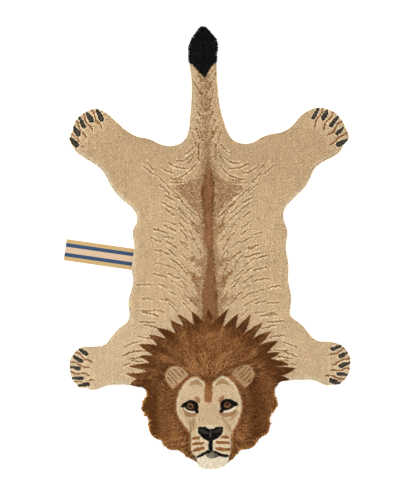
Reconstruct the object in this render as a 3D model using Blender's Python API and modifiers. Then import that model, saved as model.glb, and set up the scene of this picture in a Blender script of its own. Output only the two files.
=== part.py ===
"""A hand-tufted wool floor rug in the shape of a lion's pelt, spread flat, with its sewn cloth label.

The rug is one tufted cloth: a stiff backing with cut wool pile, longer in the mane and the tail tuft.
X runs across the pelt, +Y from the chin to the tail, +Z up. The origin is on the underside, on the
spine line, halfway between the tail tip and the chin.
"""

import math
from collections import namedtuple

import bmesh
import bpy
import numpy as np
from mathutils import Vector
from mathutils.geometry import delaunay_2d_cdt

MM = 0.001

# Pile and backing, metres above the floor
BACKING = 0.003
FIELD_TOP = 0.015
FACE_TOP = 0.016
EAR_TOP = 0.017
LOCK_TOP = 0.021
MANE_TOP = 0.025
TUFT_TOP = 0.027

# The cut edge of the pile: it is rounded at the top and leans out over the backing
EDGE_ROUND = 0.008
SHOULDER_INSET = 0.0015
ROUND_INSET = 0.007
PILE_LEAN = 0.002
FOOT_INSET = 0.001
FLOOR_INSET = 0.002
BELLY_SHARE = 0.55

# How finely the shapes are divided
OUTLINE_STEP = 0.013
SHAG_STEP = 0.0075
RELIEF_STEP = 0.021
NEAR_FEATURE = 0.55
FLOOR_STEP = 0.06

# Loose yarn locks along the rim of the mane and of the tail tuft
RIM_LOCK = 0.006
RIM_LOCK_SPREAD = 0.35

# How far along its length each pointed lock of the mane is ridged, and how high
RIDGE_SHARES = (0.12, 0.45, 0.75)
RIDGE_HEIGHTS = (MANE_TOP - 0.002, LOCK_TOP, LOCK_TOP - 0.002)

# Lumps of the long pile
LUMP_HEIGHT = 0.0022
LUMP_LENGTH = 0.050

# The label: a folded strip of woven cloth, sewn under the left flank
LABEL_LENGTH = 0.255
LABEL_WIDTH = 0.073
LABEL_THICK = 0.0012
LABEL_HEM = 0.009
LABEL_HEM_THICK = 0.0018
LABEL_TURN_DEG = -8.2
LABEL_END = Vector((-0.4735, -0.0055))
SEAM_GAP = 0.0003

# The pelt's outline in millimetres, from the tail tip down both sides to the chin, as seen from above.
Station = namedtuple("Station", "place left_x left_y right_x right_y")
TAIL_TIP = (-8, 749)
CHIN_TIP = (27, -748)
TUFT_STATIONS = (
    Station("tuft upper", -31, 728, 19, 728),
    Station("tuft shoulder", -51, 693, 43, 692),
    Station("tuft widest", -56, 648, 40, 655),
    Station("tuft foot", -53, 617, 40, 622),
)
BODY_STATIONS = (
    Station("tail upper", -49, 590, 41, 594),
    Station("tail middle", -46, 533, 44, 533),
    Station("tail lower", -50, 459, 55, 459),
    Station("tail foot", -53, 428, 64, 428),
    Station("tail root", -56, 397, 74, 399),
    Station("tail notch", -74, 362, 94, 367),
    Station("rump hollow", -107, 347, 127, 354),
    Station("rump", -144, 349, 156, 356),
    Station("rump crest", -184, 367, 201, 379),
    Station("rump corner", -204, 373, 230, 387),
    Station("thigh top", -225, 376, 259, 392),
    Station("shin top", -272, 402, 296, 415),
    Station("shin hollow", -291, 420, 313, 436),
    Station("hind ankle top", -310, 437, 333, 455),
    Station("hind heel top", -340, 461, 364, 471),
    Station("hind paw top", -367, 471, 388, 475),
    Station("hind toe corner", -401, 462, 422, 467),
    Station("first hind toe", -418, 452, 439, 459),
    Station("second hind toe", -432, 438, 453, 445),
    Station("third hind toe", -443, 420, 466, 428),
    Station("fourth hind toe", -448, 400, 476, 408),
    Station("fifth hind toe", -454, 384, 483, 391),
    Station("hind toes end", -459, 367, 487, 374),
    Station("hind paw heel", -442, 333, 468, 347),
    Station("hind paw sole", -429, 317, 457, 325),
    Station("hind ankle low", -410, 305, 438, 311),
    Station("shin low", -367, 277, 388, 283),
    Station("shin bend", -349, 262, 369, 265),
    Station("hock", -336, 243, 358, 242),
    Station("thigh low", -313, 200, 340, 208),
    Station("flank hollow", -282, 164, 302, 169),
    Station("flank notch", -245, 132, 271, 134),
    Station("waist", -230, 100, 265, 107),
    Station("loin", -245, 56, 279, 56),
    Station("side upper", -240, 5, 274, 2),
    Station("side middle", -245, -49, 283, -56),
    Station("side bulge", -248, -80, 282, -83),
    Station("side lower", -244, -110, 282, -110),
    Station("chest", -260, -185, 293, -171),
    Station("chest low", -258, -209, 290, -198),
    Station("armpit", -257, -232, 289, -226),
    Station("armpit corner", -263, -249, 302, -240),
    Station("shoulder", -277, -261, 317, -251),
    Station("shoulder round", -296, -275, 334, -266),
    Station("shoulder low", -312, -293, 347, -283),
    Station("fore arm top", -340, -326, 378, -312),
    Station("fore wrist top", -381, -333, 428, -317),
    Station("fore paw top", -422, -337, 462, -329),
    Station("first fore toe", -448, -363, 487, -359),
    Station("second fore toe", -457, -379, 492, -378),
    Station("third fore toe", -458, -398, 491, -397),
    Station("fourth fore toe", -456, -420, 490, -415),
    Station("fifth fore toe", -451, -442, 482, -431),
    Station("fore toes end", -439, -458, 471, -448),
    Station("fore paw heel", -425, -472, 457, -460),
    Station("fore paw sole", -403, -474, 441, -462),
    Station("fore heel", -381, -481, 424, -465),
    Station("fore heel end", -355, -475, 405, -464),
    Station("fore wrist low", -330, -466, 388, -457),
    Station("fore arm low", -296, -464, 362, -447),
    Station("elbow", -262, -464, 333, -447),
)
MANE_STATIONS = (
    Station("mane corner", -232, -470, 278, -450),
    Station("mane corner hollow", -210, -471, 249, -458),
    Station("mane notch", -194, -490, 232, -483),
    Station("mane lobe", -207, -522, 240, -515),
    Station("mane lobe tip", -212, -543, 243, -529),
    Station("cheek", -194, -569, 220, -565),
    Station("cheek hollow", -188, -585, 217, -582),
    Station("cheek low", -187, -601, 217, -598),
    Station("jowl", -180, -629, 208, -624),
    Station("jowl lobe", -161, -646, 180, -646),
    Station("jowl bend", -147, -649, 171, -658),
    Station("jowl hollow", -139, -662, 163, -668),
    Station("beard lobe", -113, -682, 137, -680),
    Station("beard bend", -96, -681, 124, -680),
    Station("beard", -80, -688, 113, -687),
    Station("beard end", -52, -708, 95, -709),
)
CHIN_STATIONS = (
    Station("jaw", -30, -722, 82, -719),
    Station("chin side", -21, -739, 73, -733),
    Station("chin", 5, -749, 49, -745),
)

# The mane's pointed locks over the shoulders in millimetres, from the left elbow over the back to the
# right one: each lock's tip, the notch between it and the next, and how far its two sides swell.
Lock = namedtuple("Lock", "tip_x tip_y notch_x notch_y first_swell last_swell")
MANE_LEFT_END = (-207, -474)
MANE_LOCKS = (
    Lock(-253, -461, -220, -439, 0, 4),
    Lock(-268, -422, -194, -414, 6, -2),
    Lock(-258, -400, -184, -387, 0, 2),
    Lock(-221, -365, -175, -362, 1, 1),
    Lock(-224, -327, -159, -331, 1, 5),
    Lock(-191, -295, -132, -308, -2, 5),
    Lock(-165, -270, -96, -290, -3, 5),
    Lock(-117, -241, -70, -263, 1, 1),
    Lock(-92, -224, -38, -259, 0, 4),
    Lock(-49, -212, 2, -256, -3, 3),
    Lock(10, -206, 30, -245, 3, 3),
    Lock(80, -205, 61, -268, 1, -4),
    Lock(113, -222, 106, -275, 3, -2),
    Lock(154, -225, 132, -288, 2, 1),
    Lock(196, -250, 163, -306, 1, -1),
    Lock(224, -282, 186, -331, 4, -1),
    Lock(248, -316, 209, -357, 7, -2),
    Lock(254, -354, 220, -375, 3, 1),
    Lock(284, -394, 230, -401, 5, -1),
    Lock(305, -406, 245, -428, 1, 8),
    Lock(284, -444, 236, -457, 2, 0),
)

# The plain short-piled face and ears, sunk in the long pile of the mane, in millimetres.
FACE_NOTCH = (13, -466)
FACE_STATIONS = (
    Station("brow inner", -5, -452, 31, -450),
    Station("brow", -32, -435, 58, -431),
    Station("temple", -65, -452, 92, -452),
    Station("eye corner", -90, -495, 116, -490),
    Station("cheek bone", -97, -537, 125, -532),
    Station("cheek", -85, -578, 116, -575),
    Station("cheek foot", -60, -611, 98, -611),
    Station("muzzle top", -50, -635, 89, -635),
    Station("muzzle", -49, -670, 90, -670),
    Station("muzzle foot", -36, -702, 84, -700),
    Station("jaw", -28, -722, 80, -719),
)
FACE_WALL = 0.006
Ear = namedtuple("Ear", "centre half_width half_height turn_deg")
EARS = (
    Ear(Vector((-0.099, -0.436)), 0.040, 0.031, -38.0),
    Ear(Vector((0.131, -0.431)), 0.040, 0.032, 40.0),
)
EAR_SIDES = 14

# The tail tuft ends in a point that lies on the tail.
TUFT_POINT = Vector((-0.001, 0.573))

COLOURS = {
    "tan wool": (0.60, 0.44, 0.26, 1.0),
    "brown wool": (0.20, 0.085, 0.03, 1.0),
    "pale wool": (0.68, 0.54, 0.36, 1.0),
    "black wool": (0.012, 0.011, 0.010, 1.0),
    "label cloth": (0.72, 0.47, 0.28, 1.0),
}


def clear_scene():
    for obj in list(bpy.data.objects):
        bpy.data.objects.remove(obj)


def collection(name):
    made = bpy.data.collections.new(name)
    bpy.context.scene.collection.children.link(made)
    return made


def material(name, roughness=0.95):
    made = bpy.data.materials.new(name)
    made.use_nodes = True
    shader = made.node_tree.nodes["Principled BSDF"]
    shader.inputs["Base Color"].default_value = COLOURS[name]
    shader.inputs["Roughness"].default_value = roughness
    shader.inputs["Metallic"].default_value = 0.0
    made.diffuse_color = COLOURS[name]
    return made


def wobble(number):
    """A steady, uneven value from -1 to 1 for a count: it makes locks and lumps unlike their neighbours."""
    return math.sin(number * 2.399 + 0.7) * 0.6 + math.sin(number * 5.13) * 0.4


def drawn_curve(points, closed):
    """The points of a smooth curve through these, about a sixth of each span apart."""
    data = bpy.data.curves.new("outline guide", "CURVE")
    data.dimensions = "2D"
    data.resolution_u = 12
    spline = data.splines.new("BEZIER")
    spline.bezier_points.add(len(points) - 1)
    for knot, (x, y) in zip(spline.bezier_points, points):
        knot.co = (x, y, 0)
        knot.handle_left_type = knot.handle_right_type = "AUTO"
    spline.use_cyclic_u = closed
    guide = bpy.data.objects.new("outline guide", data)
    bpy.context.scene.collection.objects.link(guide)
    bpy.context.view_layer.update()
    mesh = bpy.data.meshes.new_from_object(guide.evaluated_get(bpy.context.evaluated_depsgraph_get()))
    line = [Vector(v.co[:2]) for v in mesh.vertices]
    bpy.data.objects.remove(guide)
    bpy.data.meshes.remove(mesh)
    return line


def spaced(line, step, closed=False):
    """Points along a line, an even distance of about one step apart."""
    if closed:
        line = line + line[:1]
    ends = [0.0]
    for a, b in zip(line, line[1:]):
        ends.append(ends[-1] + (b - a).length)
    count = max(2, round(ends[-1] / step))
    wanted = [ends[-1] * i / count for i in range(count if closed else count + 1)]
    xs = np.interp(wanted, ends, [p.x for p in line])
    ys = np.interp(wanted, ends, [p.y for p in line])
    return [Vector((float(x), float(y))) for x, y in zip(xs, ys)]


def pelt_outline():
    """The pelt's outline, anticlockwise from the tail tip, and whether each point is on a shaggy rim."""
    groups = (TUFT_STATIONS, BODY_STATIONS, MANE_STATIONS, CHIN_STATIONS)
    left = [(s.left_x, s.left_y) for group in groups for s in group]
    right = [(s.right_x, s.right_y) for group in groups for s in group]
    knots = [TAIL_TIP, *left, CHIN_TIP, *reversed(right)]
    line = drawn_curve([(x * MM, y * MM) for x, y in knots], closed=True)
    foot_y = TUFT_STATIONS[-1].left_y * MM
    corner_y = MANE_STATIONS[0].left_y * MM
    jaw_y = MANE_STATIONS[-1].left_y * MM
    inner = abs(BODY_STATIONS[-1].left_x) * MM * 1.06

    def shaggy(p):
        return p.y > foot_y or (jaw_y < p.y < corner_y and abs(p.x) < inner)

    points, loose = [], []
    runs, start = [], 0
    for i in range(1, len(line) + 1):
        if i == len(line) or shaggy(line[i]) != shaggy(line[start]):
            runs.append((line[start:i + 1] if i < len(line) else line[start:] + line[:1], shaggy(line[start])))
            start = i
    for run, is_loose in runs:
        stretch = spaced(run, SHAG_STEP if is_loose else OUTLINE_STEP)[:-1]
        points += stretch
        loose += [is_loose] * len(stretch)
    return points, loose


def outward_normals(points):
    """For each point of an anticlockwise outline, the direction straight out of it."""
    found = []
    for i, p in enumerate(points):
        along = points[(i + 1) % len(points)] - points[i - 1]
        found.append(Vector((along.y, -along.x)).normalized())
    return found


class Outline:
    """Distances to a closed line, and whether a point is inside it."""

    def __init__(self, points):
        self.start = np.array([tuple(p) for p in points])
        self.end = np.roll(self.start, -1, axis=0)

    def distance(self, p):
        run = self.end - self.start
        at = np.array((p.x, p.y)) - self.start
        share = np.clip((at * run).sum(1) / (run * run).sum(1), 0, 1)
        return float(np.linalg.norm(at - run * share[:, None], axis=1).min())

    def holds(self, p):
        (x0, y0), (x1, y1) = self.start.T, self.end.T
        crossed = (y0 > p.y) != (y1 > p.y)
        level = np.where(crossed, y1 - y0, 1.0)
        return bool((crossed & (p.x < (x1 - x0) * (p.y - y0) / level + x0)).sum() % 2)


def mane_locks():
    """The mane's pointed locks: each one's edge from notch to notch, and the ridge along it."""
    first = Vector(MANE_LEFT_END) * MM
    locks = []
    for lock in MANE_LOCKS:
        tip, last = Vector((lock.tip_x, lock.tip_y)) * MM, Vector((lock.notch_x, lock.notch_y)) * MM
        edge = [first, side_middle(first, tip, lock.first_swell), tip, side_middle(tip, last, lock.last_swell)]
        root = (first + last) / 2
        locks.append((edge, last, [root.lerp(tip, share) for share in RIDGE_SHARES]))
        first = last
    return locks


def side_middle(start, end, swell):
    """The middle of one side of a lock, which swells out by so many millimetres."""
    along = (end - start).normalized()
    return (start + end) / 2 + Vector((-along.y, along.x)) * swell * MM


def mane_area():
    """All the ground within the mane's locks and below them, past the chin."""
    locks = mane_locks()
    edge = [p for lock, _, _ in locks for p in lock] + [locks[-1][1]]
    corner, chin_y = MANE_STATIONS[0], CHIN_TIP[1] * MM
    right, left = corner.right_x * MM, corner.left_x * MM
    around = ((right, corner.right_y * MM), (right, chin_y), (0.0, chin_y * 1.1), (left, chin_y),
              (left, corner.left_y * MM))
    return Outline(edge + [Vector(p) for p in around])


def lump(p):
    """The rise and fall of the long pile, which lies in lumps."""
    return LUMP_HEIGHT * (
        math.sin(p.x * 2 * math.pi / LUMP_LENGTH + 1.3 * math.sin(p.y * 41))
        * math.sin(p.y * 2 * math.pi / (LUMP_LENGTH * 1.3) + 1.1 * math.sin(p.x * 37))
    )


def edge_drop(depth):
    """How far the pile's top falls towards its cut edge."""
    if depth >= EDGE_ROUND:
        return 0.0
    return EDGE_ROUND - math.sqrt(EDGE_ROUND ** 2 - (EDGE_ROUND - depth) ** 2)


class Relief:
    """The points and lines of the rug's top, each point with its height."""

    def __init__(self, outline):
        self.outline = outline
        self.points, self.heights, self.lines = [], [], []

    def add(self, p, height):
        self.points.append(p)
        self.heights.append(height - edge_drop(self.outline.distance(p)))
        return len(self.points) - 1

    def line(self, points, heights, closed=False):
        """A feature line: faces meet along it and don't cross it."""
        numbers = [self.add(p, h) for p, h in zip(points, heights)]
        self.lines += list(zip(numbers, numbers[1:] + numbers[:1] if closed else numbers[1:]))
        return numbers


def add_locks(relief):
    """The mane's edge over the shoulders: pointed locks, each one ridged, standing on the short pile."""
    edge = []
    for lock, _, ridge in mane_locks():
        edge += lock
        for p, height in zip(ridge, RIDGE_HEIGHTS):
            if relief.outline.holds(p) and relief.outline.distance(p) > ROUND_INSET:
                relief.add(p, height)
    edge.append(mane_locks()[-1][1])
    inside = [p for p in edge if relief.outline.holds(p) and relief.outline.distance(p) > SHOULDER_INSET * 2]
    relief.line(inside, [FIELD_TOP + 0.001] * len(inside))


def add_face(relief):
    """The face and the ears: short pile inside a low wall of long pile."""
    left = [(s.left_x, s.left_y) for s in FACE_STATIONS]
    right = [(s.right_x, s.right_y) for s in FACE_STATIONS]
    knots = [(x * MM, y * MM) for x, y in (*reversed(left), FACE_NOTCH, *right)]
    line = spaced(drawn_curve(knots, closed=False), RELIEF_STEP * 0.8)
    clear = relief.outline
    foot = [p for p in line if clear.holds(p) and clear.distance(p) > ROUND_INSET]
    relief.line(foot, [FACE_TOP] * len(foot))
    walls = []
    for i, p in enumerate(foot[1:-1], 1):
        along = (foot[i + 1] - foot[i - 1]).normalized()
        walls.append(p + FACE_WALL * Vector((-along.y, along.x)))
    for p in walls:
        if clear.distance(p) > ROUND_INSET:
            relief.add(p, MANE_TOP)
    regions = [Outline(line)]
    for ear in EARS:
        rim = []
        for i in range(EAR_SIDES):
            turn, tilt = 2 * math.pi * i / EAR_SIDES, math.radians(ear.turn_deg)
            x, y = ear.half_width * math.cos(turn), ear.half_height * math.sin(turn)
            rim.append(Vector((x * math.cos(tilt) - y * math.sin(tilt), x * math.sin(tilt) + y * math.cos(tilt))))
        relief.line([ear.centre + p for p in rim], [EAR_TOP] * EAR_SIDES, closed=True)
        for p in rim:
            wall = ear.centre + p * (1 + FACE_WALL / p.length)
            if not regions[0].holds(wall) and regions[0].distance(wall) > FACE_WALL * 1.2:
                relief.add(wall, MANE_TOP)
        regions.append(Outline([ear.centre + p for p in rim]))
    return regions


def add_tuft(relief):
    """The tail tuft's pointed end, lying on the tail."""
    foot = TUFT_STATIONS[-1]
    left, right = Vector((foot.left_x * MM, foot.left_y * MM)), Vector((foot.right_x * MM, foot.right_y * MM))
    inset = Vector((ROUND_INSET * 1.2, 0))
    edge = spaced([left + inset, TUFT_POINT, right - inset], RELIEF_STEP * 0.8)
    relief.line(edge, [FIELD_TOP + 0.001] * len(edge))
    for share in (0.25, 0.6, 0.9):
        relief.add(TUFT_POINT.lerp((left + right) / 2, share), TUFT_TOP - 0.004 * (1 - share))
    return Outline([left, TUFT_POINT, right, Vector((0.1, 0.8)), Vector((-0.1, 0.8))])


def add_filling(relief, mane, face_and_ears, tuft):
    """Points at an even spacing all over the top, each with the pile height of its place."""
    tops = [EAR_TOP] * len(face_and_ears)
    tops[0] = FACE_TOP
    taken = np.array([tuple(p) for p in relief.points])
    lows, highs = relief.outline.start.min(0), relief.outline.start.max(0)
    rows = int((highs[1] - lows[1]) / (RELIEF_STEP * math.sqrt(0.75))) + 1
    columns = int((highs[0] - lows[0]) / RELIEF_STEP) + 1
    for row in range(rows):
        for column in range(columns):
            p = Vector((lows[0] + (column + 0.5 * (row % 2)) * RELIEF_STEP,
                        lows[1] + row * RELIEF_STEP * math.sqrt(0.75)))
            if not relief.outline.holds(p) or relief.outline.distance(p) < ROUND_INSET * 1.8:
                continue
            if np.linalg.norm(taken - (p.x, p.y), axis=1).min() < RELIEF_STEP * NEAR_FEATURE:
                continue
            height = FIELD_TOP
            if mane.holds(p):
                height = MANE_TOP + lump(p)
            if tuft.holds(p):
                height = TUFT_TOP + lump(p)
            for region, top in zip(face_and_ears, tops):
                if region.holds(p):
                    height = top
            relief.add(p, height)


def rim_height(p, mane):
    """The pile's full height at the cut edge."""
    jaw = CHIN_STATIONS[0]
    if p.y > TUFT_STATIONS[-1].left_y * MM:
        return TUFT_TOP
    if p.y < (jaw.left_y + 12) * MM and jaw.left_x * MM < p.x < jaw.right_x * MM:
        return FACE_TOP
    return MANE_TOP if mane.holds(p) else FIELD_TOP


def rug_mesh():
    """The whole tufted cloth: its top from the relief, its rim drawn down in rings, and its flat underside."""
    points, loose = pelt_outline()
    normals = outward_normals(points)
    outline = Outline(points)
    relief = Relief(outline)
    shoulder = [p - n * SHOULDER_INSET for p, n in zip(points, normals)]
    mane = mane_area()
    rim_tops = [rim_height(p, mane) for p in points]
    rim = relief.line(shoulder, rim_tops, closed=True)
    for p, n, top in zip(points[::2], normals[::2], rim_tops[::2]):
        inner = p - n * ROUND_INSET
        if outline.distance(inner) > ROUND_INSET * 0.9:
            relief.add(inner, top)
    add_locks(relief)
    face_and_ears = add_face(relief)
    tuft = add_tuft(relief)
    add_filling(relief, mane, face_and_ears, tuft)

    made = delaunay_2d_cdt(relief.points, relief.lines, [rim], 1, 1e-6)
    flat, faces, sources = made[0], made[2], made[3]
    rug = bmesh.new()
    corners = []
    for p, source in zip(flat, sources):
        height = relief.heights[source[0]] if source else FIELD_TOP
        corners.append(rug.verts.new((p.x, p.y, height)))
    for face in faces:
        rug.faces.new([corners[i] for i in face])
    bmesh.ops.recalc_face_normals(rug, faces=rug.faces)

    ring = [corners[next(i for i, s in enumerate(sources) if n in s)] for n in rim]
    depths = (
        (lambda i: PILE_LEAN + (RIM_LOCK * (1 + RIM_LOCK_SPREAD * wobble(i)) if loose[i] and i % 2 else 0.0),
         lambda i: rim_tops[i] * BELLY_SHARE),
        (lambda i: -FOOT_INSET, lambda i: BACKING),
        (lambda i: -FLOOR_INSET, lambda i: 0.0),
    )
    for outset, height in depths:
        edges = [rug.edges.get((a, b)) for a, b in zip(ring, ring[1:] + ring[:1])]
        drawn = bmesh.ops.extrude_edge_only(rug, edges=edges)["geom"]
        new = {v for v in drawn if isinstance(v, bmesh.types.BMVert)}
        ring = [next(e.other_vert(v) for e in v.link_edges if e.other_vert(v) in new) for v in ring]
        for i, v in enumerate(ring):
            place = points[i] + normals[i] * outset(i)
            v.co = (place.x, place.y, height(i))
    lay_floor(rug, ring, outline)
    bmesh.ops.recalc_face_normals(rug, faces=rug.faces)
    paint(rug, mane, face_and_ears, tuft)
    mesh = bpy.data.meshes.new("rug")
    rug.to_mesh(mesh)
    rug.free()
    return mesh


def lay_floor(rug, ring, outline):
    """Closes the flat underside, with a few points inside it so that its faces are of an even size."""
    spots = [Vector(v.co[:2]) for v in ring]
    edge = list(range(len(ring)))
    lows, highs = outline.start.min(0), outline.start.max(0)
    for x in np.arange(lows[0], highs[0], FLOOR_STEP):
        for y in np.arange(lows[1], highs[1], FLOOR_STEP):
            p = Vector((float(x), float(y)))
            if outline.holds(p) and outline.distance(p) > FLOOR_STEP / 2:
                spots.append(p)
    laid = delaunay_2d_cdt(spots, [], [edge], 1, 1e-6)
    corners = [ring[source[0]] if source and source[0] < len(ring) else rug.verts.new((p.x, p.y, 0.0))
               for p, source in zip(laid[0], laid[3])]
    for face in laid[2]:
        rug.faces.new([corners[i] for i in reversed(face)])


WOOLS = ("tan wool", "brown wool", "pale wool", "black wool")


def paint(rug, mane, face_and_ears, tuft):
    """Gives each face of the rug the wool of its place."""
    for face in rug.faces:
        at = Vector(face.calc_center_median()[:2])
        wool = "tan wool"
        if mane.holds(at):
            wool = "brown wool"
        if tuft.holds(at):
            wool = "black wool"
        if face_and_ears[0].holds(at) or at.y < CHIN_STATIONS[0].left_y * MM:
            wool = "pale wool"
        if any(ear.holds(at) for ear in face_and_ears[1:]):
            wool = "tan wool"
        face.material_index = WOOLS.index(wool)


def add_object(name, mesh, materials, into):
    obj = bpy.data.objects.new(name, mesh)
    for made in materials:
        mesh.materials.append(made)
    into.objects.link(obj)
    return obj


def label_box(name, length, width, height, into):
    """A flat box that starts at the label's free end, lies along the label and stands on the floor."""
    box = bmesh.new()
    bmesh.ops.create_cube(box, size=1.0)
    bmesh.ops.scale(box, vec=(length, width, height), verts=box.verts)
    bmesh.ops.translate(box, vec=(length / 2, 0, height / 2), verts=box.verts)
    mesh = bpy.data.meshes.new(name)
    box.to_mesh(mesh)
    box.free()
    obj = bpy.data.objects.new(name, mesh)
    into.objects.link(obj)
    obj.location = (LABEL_END.x, LABEL_END.y, 0)
    obj.rotation_euler.z = math.radians(LABEL_TURN_DEG)
    return obj


def add_label(cloth, parts, cutters):
    """The label's strip with its turned-in hem at the free end, and the place cut for it under the rug."""
    label = label_box("label", LABEL_LENGTH, LABEL_WIDTH, LABEL_THICK, parts)
    label.data.materials.append(cloth)
    hem = label_box("label hem", LABEL_HEM, LABEL_WIDTH, LABEL_HEM_THICK, cutters)
    joined = label.modifiers.new("hem", "BOOLEAN")
    joined.operation, joined.object = "UNION", hem
    soft = label.modifiers.new("soft edges", "BEVEL")
    soft.width, soft.segments, soft.limit_method = 0.0003, 2, "ANGLE"
    seat = label_box("label seat", LABEL_LENGTH + SEAM_GAP, LABEL_WIDTH + 2 * SEAM_GAP, LABEL_THICK + SEAM_GAP, cutters)
    seat.location.z = -SEAM_GAP
    seat.scale.z = (LABEL_THICK + 2 * SEAM_GAP) / (LABEL_THICK + SEAM_GAP)
    for cutter in (hem, seat):
        cutter.hide_render = True
        cutter.display_type = "WIRE"
    return seat


def main():
    clear_scene()
    parts, cutters = collection("lion pelt rug"), collection("cutters")
    rug = add_object("rug", rug_mesh(), [material(name) for name in WOOLS], parts)
    seat = add_label(material("label cloth", 0.8), parts, cutters)
    place = rug.modifiers.new("place for the label", "BOOLEAN")
    place.operation, place.object = "DIFFERENCE", seat
    rug.data.set_sharp_from_angle(angle=math.radians(35))


main()
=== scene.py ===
import math
from collections import namedtuple

import bmesh
import bpy
import numpy as np
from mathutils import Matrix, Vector, noise
from mathutils.bvhtree import BVHTree
from mathutils.geometry import delaunay_2d_cdt
from mathutils.kdtree import KDTree


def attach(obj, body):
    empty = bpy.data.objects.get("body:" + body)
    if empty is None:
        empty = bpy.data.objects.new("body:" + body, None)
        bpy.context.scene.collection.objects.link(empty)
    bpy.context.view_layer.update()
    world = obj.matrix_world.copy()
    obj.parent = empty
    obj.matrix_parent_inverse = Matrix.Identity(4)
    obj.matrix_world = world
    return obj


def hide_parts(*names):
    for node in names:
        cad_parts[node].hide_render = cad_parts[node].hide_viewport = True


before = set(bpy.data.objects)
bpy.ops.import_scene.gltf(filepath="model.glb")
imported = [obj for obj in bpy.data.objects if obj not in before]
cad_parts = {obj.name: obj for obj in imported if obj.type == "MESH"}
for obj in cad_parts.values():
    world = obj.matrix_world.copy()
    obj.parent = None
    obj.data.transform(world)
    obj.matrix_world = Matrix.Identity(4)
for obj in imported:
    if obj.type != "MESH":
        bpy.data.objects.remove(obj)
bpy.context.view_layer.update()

MM = 0.001

# The studio: a plain pale floor in soft light from all round, and a camera straight above the rug, which
# is how it was shown. The view takes in 1.41 m by 1.69 m of floor.
VIEW_CENTRE = (0.0102, -0.0051)
VIEW_LENGTH = 1.6896
CAMERA_HEIGHT = 9.0
FLOOR_HALF = 12.0
SENSOR = 36.0


def dial(node, sockets):
    """Puts plain values on a shader node's own sockets."""
    for socket, value in sockets.items():
        node.inputs[socket].default_value = value
    return node


def matter(name, sockets):
    """A new material with plain values on its shader. Gives the material, its node tree and its shader."""
    made = bpy.data.materials.new(name)
    made.use_nodes = True
    return made, made.node_tree, dial(made.node_tree.nodes["Principled BSDF"], sockets)


scene = bpy.context.scene
scene.view_settings.view_transform = "Standard"
world = bpy.data.worlds.new("studio air")
scene.world = world
world.use_nodes = True
dial(world.node_tree.nodes["Background"], {"Color": (1.0, 0.99, 0.975, 1.0), "Strength": 1.08})

floor_mesh = bpy.data.meshes.new("floor")
sheet = bmesh.new()
bmesh.ops.create_grid(sheet, x_segments=8, y_segments=8, size=FLOOR_HALF)
sheet.to_mesh(floor_mesh)
sheet.free()
floor = bpy.data.objects.new("floor", floor_mesh)
scene.collection.objects.link(floor)
paint = matter("pale floor", {
    "Base Color": (0.93, 0.93, 0.93, 1.0), "Roughness": 0.9, "Specular IOR Level": 0.1,
    "Emission Color": (1.0, 1.0, 1.0, 1.0), "Emission Strength": 0.4})[0]
floor_mesh.materials.append(paint)

softbox = bpy.data.lights.new("softbox", "AREA")
softbox.shape = "DISK"
softbox.size = 4.6
softbox.energy = 100.0
softbox.color = (1.0, 0.985, 0.96)
lamp = bpy.data.objects.new("softbox", softbox)
lamp.location = (-2.1, 1.9, 3.0)
lamp.rotation_euler = Vector(lamp.location).to_track_quat("Z", "Y").to_euler()
scene.collection.objects.link(lamp)

camera = bpy.data.objects.new("camera", bpy.data.cameras.new("camera"))
camera.data.sensor_width = SENSOR
camera.data.lens = SENSOR * CAMERA_HEIGHT / VIEW_LENGTH
camera.data.clip_end = 100.0
camera.location = (*VIEW_CENTRE, CAMERA_HEIGHT)
scene.collection.objects.link(camera)
scene.camera = camera

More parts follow.
